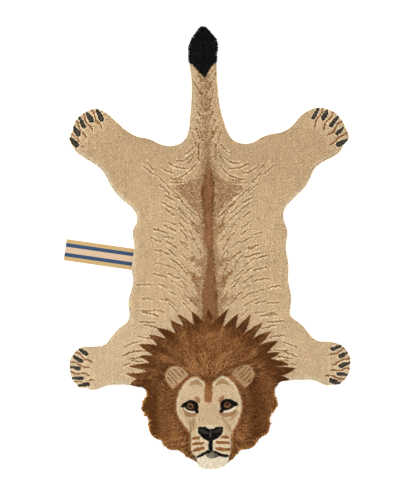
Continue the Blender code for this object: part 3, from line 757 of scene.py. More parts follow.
def body_yarns(spots, seed):
    """The colour of the body's yarn at each spot."""
    rng = np.random.default_rng(seed)
    count = len(spots)
    middle, half, beside = spine_at(spots)
    off_spine = np.abs(spots[:, 0] - middle)
    ys = spots[:, 1]
    fore = smooth_share(-ys, *FORE_REACH)[:, None] * (FORE_SHARE - FORE_UNEVEN * np.sign(spots[:, :1]))
    hind = (smooth_share(ys, *HIND_REACH) * (1 - smooth_share(ys, *TAIL_REACH) * TAIL_LESS_BROWN))[:, None]
    shades = yarn(TAN) * (1 - fore - hind) + yarn(TAN_FORE) * fore + yarn(TAN_HIND) * hind
    gap, out = nearest_on(spots, pelt)
    # painted light: the edge's tufts are paled, more where the edge faces the chin's end or the left
    pale_and_lit = np.clip(EDGE_PALE_AND_LIT + out @ EDGE_LIGHT_FROM - EDGE_PALE_LESS_ON_TAIL * smooth_share(ys, *EDGE_PALE_ENDS), 0, EDGE_PALE_MOST)
    shades = mixed(shades, yarn(TAN_LIT_EDGE), (pale_and_lit * (1 - smooth_share(gap, *EDGE_PALE_BAND)))[:, None])
    heather = heather_on(spots, rng)
    speckle = rng.random(count)
    for line, strength in back_strokes:
        strokes_on(spots, shades, line - (0, PALE_OFFSET), STROKE_WIDTH, TAN_PALE, PALE_BELOW * strength)
        strokes_on(spots, shades, line + (0, PALE_OFFSET), STROKE_WIDTH, TAN_PALE, PALE_ABOVE * strength)
    brown = np.clip(heather * (BROWN_LEAST + BROWN_RANGE * speckle), 0, BROWN_MOST)[:, None]
    shades = mixed(shades, yarn(HEATHER_BROWN), brown)
    flecks = FLECKS + FLECKS_ON_TAIL * smooth_share(ys, *FLECKED_TAIL)
    fleck = (rng.random(count) < flecks) & (heather > 0.12)
    shades[fleck] = mixed(shades[fleck], yarn(TAN_PALE), FLECK_SHARE)
    for line, strength in back_strokes:
        strokes_on(spots, shades, line, STROKE_WIDTH, STROKE_BROWN, strength)

    inside = half - off_spine + rng.normal(0, STRIPE_FRAY, count) + drift(spots, 0.014, 8.0) * 0.0016
    upper = smooth_share(ys, *UPPER_STRIPE)
    border = (1 - smooth_share(inside, *STRIPE_BORDER)) * (0.25 + 0.5 * upper)
    streak = drifted(spots, STREAKS)
    dark = np.clip(border + 0.14 + 0.12 * upper + streak + rng.normal(0, 0.17, count), 0, 0.95)[:, None]
    covers = (np.where(inside > 0, 1.0, 0.0) * (1 - 0.45 * smooth_share(ys, *FADING_STRIPE)))[:, None]
    shades = mixed(shades, mixed(yarn(SPINE_BROWN), yarn(SPINE_DARK), dark), covers)
    paint_paws(spots, shades, rng)
    slow, rows = drifted(spots, SLOW_TONES), drifted(spots, ROW_TONES)
    return shades * (1 + slow + rows + rng.normal(0, YARN_VARIES, count))[:, None]


# The wool: fine fibres break up each yarn's colour and its surface, and a soft sheen lies on the cut ends.
# Every wool takes its yarns' colours from the points of its piece.
fibres = bpy.data.node_groups.new("wool fibres", "ShaderNodeTree")
for socket, way, kind in (("Yarn", "INPUT", "Color"), ("Fibre scale", "INPUT", "Float"),
                          ("Contrast", "INPUT", "Float"), ("Colour", "OUTPUT", "Color"),
                          ("Height", "OUTPUT", "Float")):
    fibres.interface.new_socket(socket, in_out=way, socket_type="NodeSocket" + kind)
taken = fibres.nodes.new("NodeGroupInput")
given = fibres.nodes.new("NodeGroupOutput")
spot = fibres.nodes.new("ShaderNodeTexCoord")
stretch = dial(fibres.nodes.new("ShaderNodeMapping"), {"Scale": (1.0, 1.0, 0.22)})
fluff = dial(fibres.nodes.new("ShaderNodeTexNoise"), {"Detail": 3.0, "Roughness": 0.65})
spread = fibres.nodes.new("ShaderNodeMath")
spread.operation = "SUBTRACT"
dial(spread, {1: 0.5})
strength = fibres.nodes.new("ShaderNodeMath")
strength.operation = "MULTIPLY_ADD"
dial(strength, {2: 1.0})
shade = fibres.nodes.new("ShaderNodeVectorMath")
shade.operation = "SCALE"
joined(fibres, (spot, "Object", stretch, "Vector"), (stretch, "Vector", fluff, "Vector"),
       (taken, "Fibre scale", fluff, "Scale"), (fluff, "Fac", spread, 0),
       (spread, "Value", strength, 0), (taken, "Contrast", strength, 1),
       (taken, "Yarn", shade, 0), (strength, "Value", shade, "Scale"),
       (shade, "Vector", given, "Colour"), (fluff, "Fac", given, "Height"))


def wool(name, fibre_scale, contrast, sheen):
    """A wool with fibres of its own size and contrast."""
    made, tree, shader = matter(name, {"Roughness": 0.94, "Specular IOR Level": 0.12,
                                       "Sheen Weight": sheen, "Sheen Roughness": 0.6})
    dyed = tree.nodes.new("ShaderNodeVertexColor")
    dyed.layer_name = "yarn"
    broken = tree.nodes.new("ShaderNodeGroup")
    broken.node_tree = fibres
    dial(broken, {"Fibre scale": fibre_scale, "Contrast": contrast})
    raised = dial(tree.nodes.new("ShaderNodeBump"), {"Distance": 0.0004, "Strength": 0.45})
    joined(tree, (dyed, "Color", broken, "Yarn"), (broken, "Colour", shader, "Base Color"),
           (broken, "Height", raised, "Height"), (raised, "Normal", shader, "Normal"))
    return made


# Where the body's pile gives way to other yarns: the mane with its pointed locks, and the tail tuft. The
# locks run from left to right, each as its tip, the notch after it and how far its two sides bow out.
Lock = namedtuple("Lock", "tip_x tip_y notch_x notch_y first_swell last_swell")
MANE_LEFT_END = (-207, -474)
MANE_LOCKS = [Lock(*row) for row in (
    (-253, -461, -220, -439, 0, 4),
    (-268, -422, -194, -414, 6, -6),
    (-258, -400, -184, -387, 0, 2),
    (-221, -365, -175, -362, 1, 1),
    (-224, -327, -159, -331, 1, 5),
    (-191, -295, -132, -308, -2, 5),
    (-165, -270, -96, -290, -3, 5),
    (-117, -241, -70, -263, 3, -1),
    (-92, -224, -38, -259, 0, 4),
    (-49, -212, 2, -256, -3, 3),
    (10, -206, 30, -245, 3, 3),
    (80, -205, 61, -268, 1, -4),
    (113, -222, 106, -275, 3, -2),
    (154, -225, 132, -288, 2, 3),
    (196, -250, 163, -306, 1, -1),
    (224, -282, 186, -331, 4, -1),
    (248, -316, 209, -357, 7, -2),
    (254, -354, 220, -375, 3, 1),
    (284, -394, 230, -401, 5, -1),
    (305, -406, 245, -428, 1, 8),
    (284, -444, 236, -457, 2, 0),
)]
MANE_AROUND = ((258, -463), (290, -520), (290, -760), (0, -827), (-260, -760), (-260, -520), (-222, -480))
TUFT_AREA = ((-62, 614), (-47, 628), (-24, 599), (-1, 576), (16, 603), (34, 629), (48, 616),
             (100, 800), (-100, 800))
LOCK_FULLER = 1.0
NOTCH_DEEPER = 6.0
NOTCH_TOWARDS = np.array((18.0, -466.0))
LOCK_GAP, TUFT_GAP = 0.0018, 0.0016
BODY_TOP_LIMIT = 0.0158
BODY_TOP_VARIES = 0.00035
SPOT_VARIES = 0.00028
EDGE_TOP, EDGE_TOP_VARIES, EDGE_SHOWS = 0.0133, 0.0004, 0.0105


def bowed_side(start, end, swell):
    """One side of a lock, up to its end: a smooth bow whose middle stands out to its left."""
    start, run = np.array(start) * MM, (np.array(end) - np.array(start)) * MM
    left = np.array((-run[1], run[0])) / np.linalg.norm(run)
    share = np.linspace(0, 1, 7)[:-1]
    bow = (swell + LOCK_FULLER) * MM * (4 * share * (1 - share)) ** 0.75
    return start + run * share[:, None] + left * bow[:, None]


def lock_rings():
    """Each pointed lock as a leaf shape that runs from its first notch to its tip and its last notch."""
    rings, first = [], MANE_LEFT_END
    for lock in MANE_LOCKS:
        tip, last = (lock.tip_x, lock.tip_y), np.array((lock.notch_x, lock.notch_y), dtype=float)
        inward = NOTCH_TOWARDS - last
        last += inward / np.linalg.norm(inward) * NOTCH_DEEPER
        sides = bowed_side(first, tip, lock.first_swell), bowed_side(tip, last, lock.last_swell)
        rings.append(np.vstack([*sides, last * MM]))
        first = last
    return rings


def beside_line(line, pitch, out):
    """A row of spots that runs so far to the left of a line."""
    row = spaced(line, pitch, closed=False)
    along = np.gradient(row, axis=0)
    return row + unit(np.column_stack([-along[:, 1], along[:, 0]])) * out


def edge_spots():
    """A row of spots just inside the pelt's outline, with the way out of it at each."""
    row = spaced(pelt, RIM_PITCH)
    out = outward(row)
    return row - out * RIM_INSET, out


locks = lock_rings()
mane_area = np.vstack([ring[:-1] for ring in locks] + [locks[-1][-1:], np.array(MANE_AROUND) * MM])
tuft_area = np.array(TUFT_AREA) * MM

rng = np.random.default_rng(1)
field = grid_in(pelt, TUFT_PITCH)
field = field[gap_to_ring(field, pelt) > RIM_INSET + 0.0012]
field += rng.normal(0, SPOT_VARIES, field.shape)
lock_rows = [beside_line(ring, RIM_PITCH, LOCK_GAP) for ring in locks]
tuft_row = beside_line(tuft_area[1:6], RIM_PITCH, -TUFT_GAP)
field = np.vstack([field, *lock_rows, tuft_row])
field = field[within(field, canvas_edge) & ~within(field, mane_area) & ~within(field, tuft_area)]
field_shades = body_yarns(field, 21)
field_tops = np.minimum(pile_top(field, 0.013), BODY_TOP_LIMIT)
field_tops += rng.normal(0, BODY_TOP_VARIES, len(field)) + drift(field, 0.06, 5.0) * 0.0006
body_wool = wool("body wool", 900.0, 0.55, 0.03)
Quarter = namedtuple("Quarter", "name left hind")
pile_pieces = []
for quarter in (Quarter("pile_hind_left", True, True), Quarter("pile_hind_right", False, True),
                Quarter("pile_fore_left", True, False), Quarter("pile_fore_right", False, False)):
    own = ((field[:, 0] < 0.012) == quarter.left) & ((field[:, 1] > 0.05) == quarter.hind)
    pile_pieces.append(tufts(quarter.name, field[own], field_tops[own], field_shades[own], body_wool, 31))

rim, rim_out = edge_spots()
own = ~within(rim, mane_area) & ~within(rim, tuft_area)
rim, rim_out = rim[own], rim_out[own]
rim_tops = np.full(len(rim), EDGE_TOP) + rng.normal(0, EDGE_TOP_VARIES, len(rim))
rim_shades = body_yarns(rim, 22)
pile_pieces.append(tufts("pile_edge", rim, rim_tops, rim_shades, body_wool, 32, radius=RIM_RADIUS,
                         shows=EDGE_SHOWS, lean=rim_out * RIM_LEAN, sides=RIM_SIDES))

for piece in pile_pieces:
    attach(piece, "root")

# The mane: wool left long and uncombed, up to 28 mm high, leaning out from the face. Over the shoulders it
# ends in pointed locks on the short pile, and round the jowls its ends hang loose over the backing's edge.
MANE_PITCH = 0.0037
MANE_LEAN = 0.015
LOCK_LEAN = 0.009
EDGE_PITCH = 0.0028
MANE_SPOT_VARIES = 0.0007
MANE_UPPER, OUTER_DARK, SIDE_DARK = (-0.52, -0.42), (0.150, 0.215), (0.09, 0.19)
RIM_DARK, INNER_LIGHT = (0.012, 0.045), (0.06, 0.165)
MANE_VARIES, MANE_LIGHT_SHARE = 0.09, 0.8
LOCK_PULL = (0.35, 0.65)
LEAN_VARIES, WAY_VARIES = 0.16, 0.13
LEAN_AT_PATCH, LEAN_OFF_PATCH = 0.0012, 0.75
RIM_REACH, NOTCH_REACH = 0.016, 0.019
LEAN_SHARES = (0.25, 0.5, 0.75, 1.0)
SPILLED_SHARE = 0.2
UPRIGHT_BELOW = (0.003, 0.008)
MANE_TOP_VARIES = 0.0012
FRINGE, FRINGE_BELOW, FRINGE_SHARE = (0.004, 0.013), -0.478, 0.85
ROOT_TOP, ROOT_BELOW = 0.009, 0.008
STRAND_RADIUS, STRAND_WIDTH_VARIES, STRAND_CURL = 0.0021, 0.12, 0.16
CREST_BELOW, END_ABOVE = 0.0018, 0.0006
# Each ring's shade is painted shade along a strand, darkest at its root, and the strand's end is lightened as
# painted light.
StrandRing = namedtuple("StrandRing", "along width tip_share shade")
STRAND_RINGS = (StrandRing(0.0, 1.0, 0.0, 0.6), StrandRing(0.42, 1.05, 0.75, 0.95),
                StrandRing(0.78, 0.78, 1.0, 1.02))
STRAND_END_PAINTED_LIGHT = 1.05
MANE_DARK = (112, 65, 27)
MANE_MID = (162, 108, 60)
MANE_LIGHT = (206, 149, 96)
MANE_GOLD = (202, 140, 64)
MANE_CENTRE = np.array((0.018, -0.466))
PILE_SLOPE = 0.9
PATCH_LEVEL, LOCK_LEVEL = 0.0178, 0.0155
FACE_WAVER = 0.0022
FACE_AXIS = np.array(((0.012, -0.443), (0.016, -0.638)))
FACE_NOTCH = (13, -466)
FaceStation = namedtuple("FaceStation", "place left_x left_y right_x right_y")
FACE_STATIONS = [FaceStation(*row) for row in (
    ("brow lobe inner", -5, -450, 31, -450),
    ("brow lobe top", -32, -435, 58, -431),
    ("brow lobe outer", -45, -438, 78, -439),
    ("brow", -65, -452, 95, -455),
    ("temple", -82, -477, 109, -474),
    ("temple low", -92, -503, 118, -497),
    ("eye", -96, -525, 124, -519),
    ("eye low", -96, -547, 124, -542),
    ("cheek", -91, -567, 118, -567),
    ("cheek bend", -79, -587, 111, -587),
    ("cheek low", -67, -604, 102, -604),
    ("muzzle top", -56, -618, 93, -620),
    ("muzzle", -50, -629, 89, -634),
    ("whiskers", -49, -654, 90, -657),
    ("whiskers low", -48, -679, 89, -679),
    ("lip", -40, -696, 85, -696),
    ("lip corner", -29, -710, 81, -710),
    ("chin", -28, -722, 80, -719),
)]
CHIN_LINE = ((-28, -722), (-21, -740), (5, -751), (27, -752), (49, -748), (73, -736), (80, -719))
CHIN_STEP = 0.006

# A leaf-shaped patch: its middle, length and turn, and how far it bows over and under its middle line, where
# less than nothing bends it into a crescent. Its ends are blunt from 0, square, to 1, pointed, and a lean
# above 1 makes its far end the fuller. Sizes are in millimetres. The two ears are such patches.
Leaf = namedtuple("Leaf", "place tone share x y length turn over under blunt lean")
EARS = [Leaf(*row) for row in (
    ("left", (204, 170, 128), 1, -84.5, -450.5, 71, 42, 56, 2.5, 0.3, 1),
    ("right", (192, 154, 110), 1, 113.8, -447, 68, -45, 60, 2, 0.3, 1),
)]
LEAF_POINTS = 21


def leaf_ring(leaf):
    """The outline of a leaf-shaped patch of yarn."""
    share = (1 - np.cos(np.linspace(0, math.pi, LEAF_POINTS))) / 2
    fuller = share ** leaf.lean
    bow = np.clip(4 * fuller * (1 - fuller), 0, 1) ** leaf.blunt
    along = leaf.length * (share - 0.5)
    over, under = np.column_stack([along, leaf.over * bow]), np.column_stack([along, -leaf.under * bow])
    flat = np.vstack([over, under[::-1]])
    turn = math.radians(leaf.turn)
    return np.column_stack([leaf.x + flat[:, 0] * math.cos(turn) - flat[:, 1] * math.sin(turn),
                            leaf.y + flat[:, 0] * math.sin(turn) + flat[:, 1] * math.cos(turn)]) * MM


def strands(name, roots, root_z, leans, tip_z, tops, upright, root_shades, tip_shades, material, seed):
    """Loose yarn ends: each rises from its root, bends over and tapers to its tip. Upright ones are round."""
    rng = np.random.default_rng(seed)
    count, sides = len(roots), 3
    length = np.linalg.norm(leans, axis=1)[:, None] + 1e-6
    side = np.column_stack([-leans[:, 1], leans[:, 0]]) / length
    curl = rng.normal(0, STRAND_CURL, count)[:, None] * length * side
    turn = rng.uniform(0, 2 * math.pi, count)
    wide = STRAND_RADIUS * rng.normal(1.0, STRAND_WIDTH_VARIES, count)
    places = np.zeros((count, sides * 3 + 1, 3))
    crest_z = tops - CREST_BELOW * upright
    tip_z = mixed(tip_z, tops + END_ABOVE, upright)
    heights = (root_z, crest_z, crest_z * 0.45 + tip_z * 0.55)
    angle = turn[:, None] + np.arange(sides) * 2 * math.pi / sides
    forward = leans / length
    for number, ring in enumerate(STRAND_RINGS):
        centre = roots + leans * ring.along + curl * math.sin(ring.along * 3.0)
        block = places[:, number * sides:(number + 1) * sides]
        across = (wide * ring.width)[:, None] * np.cos(angle)
        up = (wide * ring.width)[:, None] * np.sin(angle)
        flat = 1.0 if number == 0 else (0.45 + 0.55 * upright)[:, None]
        block[..., 0] = centre[:, :1] + across * side[:, :1] + up * flat * forward[:, :1]
        block[..., 1] = centre[:, 1:] + across * side[:, 1:] + up * flat * forward[:, 1:]
        block[..., 2] = heights[number][:, None] + (0 if number == 0 else 0.8) * (1 - upright)[:, None] * up
    places[:, -1, :2] = roots + leans + curl * 0.3
    places[:, -1, 2] = tip_z
    tile = []
    for ring in range(2):
        for k in range(sides):
            n = (k + 1) % sides
            low, high = ring * sides, (ring + 1) * sides
            tile += [(low + k, low + n, high + n), (low + k, high + n, high + k)]
    tile += [(2 * sides + k, 2 * sides + (k + 1) % sides, 3 * sides) for k in range(sides)]
    faces = (np.arange(count)[:, None, None] * (3 * sides + 1) + np.array(tile)[None]).reshape(-1, 3)
    tip_share = np.array([*np.repeat([ring.tip_share for ring in STRAND_RINGS], sides), 1.0])
    # painted shade along each strand, darkest at its root, and painted light at its end
    painted_shading = np.array([*np.repeat([ring.shade for ring in STRAND_RINGS], sides), STRAND_END_PAINTED_LIGHT])
    colours = mixed(root_shades[:, None, :], tip_shades[:, None, :], tip_share[None, :, None])
    colours = (colours * painted_shading[None, :, None]).reshape(-1, 3)
    return built(name, places.reshape(-1, 3), faces, colours, material)


def off_axis(spots, axis):
    """How each spot lies from the nearest point of a straight line."""
    run = axis[1] - axis[0]
    share = np.clip(((spots - axis[0]) @ run) / (run @ run), 0, 1)
    return spots - (axis[0] + share[:, None] * run)


def away_from_face(spots):
    """The way that the mane leans, straight away from the face's middle line, and how far off that is."""
    away = off_axis(spots, FACE_AXIS)
    far = np.linalg.norm(away, axis=1)
    return away / far[:, None], far


def streaks(turns, lengths, fineness, start):
    """Unevenness that is drawn out along the way from the face."""
    return np.array([noise.noise(Vector((math.cos(a) * fineness, math.sin(a) * fineness, r + start)))
                     for a, r in zip(turns, lengths)])


def mane_yarns(spots, seed):
    """The colour of the mane's yarn at each spot: streaks that run out from the face."""
    rng = np.random.default_rng(seed)
    way, far = away_from_face(spots)
    turn = np.arctan2(way[:, 1], way[:, 0])
    reach = np.linalg.norm(spots - MANE_CENTRE, axis=1)
    streak, fine = streaks(turn, far * 9, 8, 0), streaks(turn, far * 34, 24, 5)
    tufty = drift(spots, 0.009, 12.0)
    upper = smooth_share(spots[:, 1], *MANE_UPPER)
    dark = smooth_share(reach, *OUTER_DARK) * upper * (0.87 + 0.5 * spots[:, 0])
    dark = np.maximum(dark, smooth_share(np.abs(spots[:, 0] - 0.016), *SIDE_DARK) * 0.45)
    near_rim = 1 - smooth_share(gap_to_ring(spots, pelt), *RIM_DARK)
    dark += (1 - upper) * (0.17 + near_rim * (0.08 + 0.5 * spots[:, 0]))
    light = (1 - smooth_share(reach, *INNER_LIGHT)) * upper * 0.46 + (1 - upper) * 0.12
    dark = dark + streak * 0.6 + fine * 0.6 + tufty * 0.25 + rng.normal(0, 0.09, len(spots))
    light = light - streak * 0.8 - fine * 0.75 - tufty * 0.45 + rng.normal(0, 0.13, len(spots))
    shades = np.tile(yarn(MANE_MID), (len(spots), 1))
    shades = mixed(shades, yarn(MANE_LIGHT), np.clip(light, 0, 1)[:, None] * MANE_LIGHT_SHARE)
    shades = mixed(shades, yarn(MANE_DARK), np.clip(dark, 0, 1)[:, None])
    return shades * (1 + rng.normal(0, MANE_VARIES, len(spots)))[:, None]


face_left = [(s.left_x, s.left_y) for s in reversed(FACE_STATIONS)]
face_right = [(s.right_x, s.right_y) for s in FACE_STATIONS]
face_ring = drawn_curve([*face_left, FACE_NOTCH, *face_right], closed=False)
chin = spaced(drawn_curve(CHIN_LINE, closed=False), CHIN_STEP, closed=False)
face_area = np.vstack([face_ring, chin[::-1]])
face_area += outward(face_area) * (drift(face_area, 0.007, 71.0) * FACE_WAVER)[:, None]
ear_areas = [leaf_ring(ear) for ear in EARS]

rng = np.random.default_rng(2)
mane = grid_in(mane_area, MANE_PITCH, CLOSER_ROWS)
mane += rng.normal(0, MANE_SPOT_VARIES, mane.shape)
for ring in locks:
    row = beside_line(ring, EDGE_PITCH, -0.0014)
    mane = np.vstack([mane, row[within(row, ring)]])
for area, out in ((face_area, 0.0011), *((area, 0.0018) for area in ear_areas)):
    mane = np.vstack([mane, beside_line(np.vstack([area, area[:1]]), EDGE_PITCH, out)])
mane_rim = spaced(pelt, EDGE_PITCH)
mane = np.vstack([mane, mane_rim - outward(mane_rim) * 0.0016])
keep = within(mane, mane_area) & within(mane, pelt) & ~within(mane, face_area)
for area in ear_areas:
    keep &= ~within(mane, area)
mane = mane[keep]
way, far = away_from_face(mane)
lean_length = np.full(len(mane), MANE_LEAN) * rng.normal(1.0, LEAN_VARIES, len(mane))
in_lock = np.zeros(len(mane), bool)
for ring in locks:
    own = within(mane, ring)
    in_lock |= own
    point = ring[len(ring) // 2] - (ring[0] + ring[-1]) / 2
    way[own] = way[own] * LOCK_PULL[0] + point / np.linalg.norm(point) * LOCK_PULL[1]
in_notch = np.abs(mane - np.array(FACE_NOTCH) * MM - (0, 0.010)).max(1) < NOTCH_REACH
way[in_notch] = (0, 1)
lean_length[in_lock] = LOCK_LEAN
way = unit(way + rng.normal(0, WAY_VARIES, way.shape))
patch_gap = np.min([gap_to_ring(mane, area) for area in (face_area, *ear_areas)], axis=0)
lean_length = np.minimum(lean_length, LEAN_AT_PATCH + LEAN_OFF_PATCH * patch_gap)
rim_gap = gap_to_ring(mane, pelt)
on_rim = rim_gap < RIM_REACH
loose = rim_gap + rng.uniform(0.0, 0.004, len(mane)) + np.maximum(drift(mane, 0.008, 19.0), 0) * 0.014
lean_length = np.where(on_rim, np.minimum(lean_length, loose), lean_length)
leans = way * lean_length[:, None]
stays = np.all([within(mane + leans * share, mane_area) for share in LEAN_SHARES], axis=0)
leans[in_lock & ~stays] *= SPILLED_SHARE
upright = np.where(on_rim, 0, 1 - smooth_share(np.linalg.norm(leans, axis=1), *UPRIGHT_BELOW))
tops = np.minimum(pile_top(mane, 0.020), PATCH_LEVEL + patch_gap * PILE_SLOPE)
tops = np.minimum(tops, LOCK_LEVEL + gap_to_ring(mane, mane_area) * PILE_SLOPE)
tops += rng.normal(0, MANE_TOP_VARIES, len(mane))
tip_z = tops - 0.003 - lean_length * 0.12
tip_z = np.where(on_rim, np.maximum(0.006, tops * (0.35 + rim_gap / 0.024)), tip_z)
tip_z = np.minimum(tip_z, tops - 0.001)
root_z = np.minimum(ROOT_TOP, tops - ROOT_BELOW)
mane_shades = mane_yarns(mane, 23)
mane_shades[in_notch] = yarn(MANE_MID) * rng.normal(1.0, 0.12, (in_notch.sum(), 1))
# painted light: the ends of the mane's strands are a little lighter than their roots
mane_tips = mane_shades * 1.02
fringe = rng.uniform(*FRINGE, len(mane)) + drift(mane, 0.016, 18.0) * 0.005
golden = on_rim & (rim_gap < fringe) & (mane[:, 1] < FRINGE_BELOW)
mane_shades[golden] = mixed(mane_shades[golden], yarn(MANE_GOLD), FRINGE_SHARE)
mane_tips[golden] = yarn(MANE_GOLD)
mane_wool = wool("mane wool", 700.0, 0.8, 0.02)
mane_piece = strands("mane", mane, root_z, leans, tip_z, tops, upright, mane_shades, mane_tips, mane_wool, 33)
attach(mane_piece, "root")
pile_pieces.append(mane_piece)

# The face and ears: the same wool tufted more finely and shorn short, 16 mm high, so that the drawing in
# coloured yarns stays sharp. Nothing on it is raised.
FACE_PITCH = 0.0025
FACE_EDGE_PITCH = 0.0027
FACE_ROW_INSET, FACE_FIELD_INSET = 0.0010, 0.0024
FACE_RADIUS, FACE_SHOWS, EAR_SHOWS = 0.00165, 0.006, 0.007
FACE_SPOT_VARIES, FACE_TOP_VARIES = 0.0002, 0.00025
FACE_TOP_LIMIT, EAR_LOW, EAR_HIGH = 0.0175, 0.016, 0.021
CHIN_TOP, CHIN_TOP_VARIES, CHIN_SHOWS = 0.0138, 0.0003, 0.011
FACE_TAN = (220, 197, 160)
BRIDGE_TAN = (214, 188, 152)
CREAM = (236, 220, 188)
CHIN_CREAM = (241, 230, 207)
OLIVE = (184, 149, 108)
OLIVE_DARK = (130, 98, 60)
RUST = (162, 112, 70)
STRIPE_BROWN = (168, 114, 68)
WHISKER_BROWN = (158, 104, 60)
BLACK = (8, 7, 6)
NOSE_GREY = (66, 64, 58)
NOSE_PALE = (88, 86, 80)
LIP_GREY = (166, 158, 138)
IRIS = (138, 98, 66)
EAR_PALE = (228, 202, 166)
EAR_LINE = (104, 68, 36)
EAR_LINE_GAP, EAR_LINE_WIDTH = 0.0120, 0.0045
EAR_LINE_HALF, EAR_LINE_SHORTER, EAR_LINE_BOW = 0.021, 0.0025, 0.0015
EAR_LINE_SHARE = (0.72, 0.95)
EAR_EDGE, EAR_EDGE_SHARE = 0.0042, 0.45
WAVER = 0.0011
ROUGH_WAVER = 0.0026
WAVER_SIZE = 0.007
ROUGH_TONES = (WHISKER_BROWN, STRIPE_BROWN, OLIVE, RUST)
LIP_DOTS = 0.46
MOTTLES, FACE_VARIES = (Drift(0.012, 15.0, 1.0, 0.06), Drift(0.0037, 16.0, 1.0, 0.13)), 0.10
PALE_EDGE, PALE_EDGE_ENDS, PALE_EDGE_SHARE = (0.0015, 0.0035), (0.0065, 0.0100), 0.9

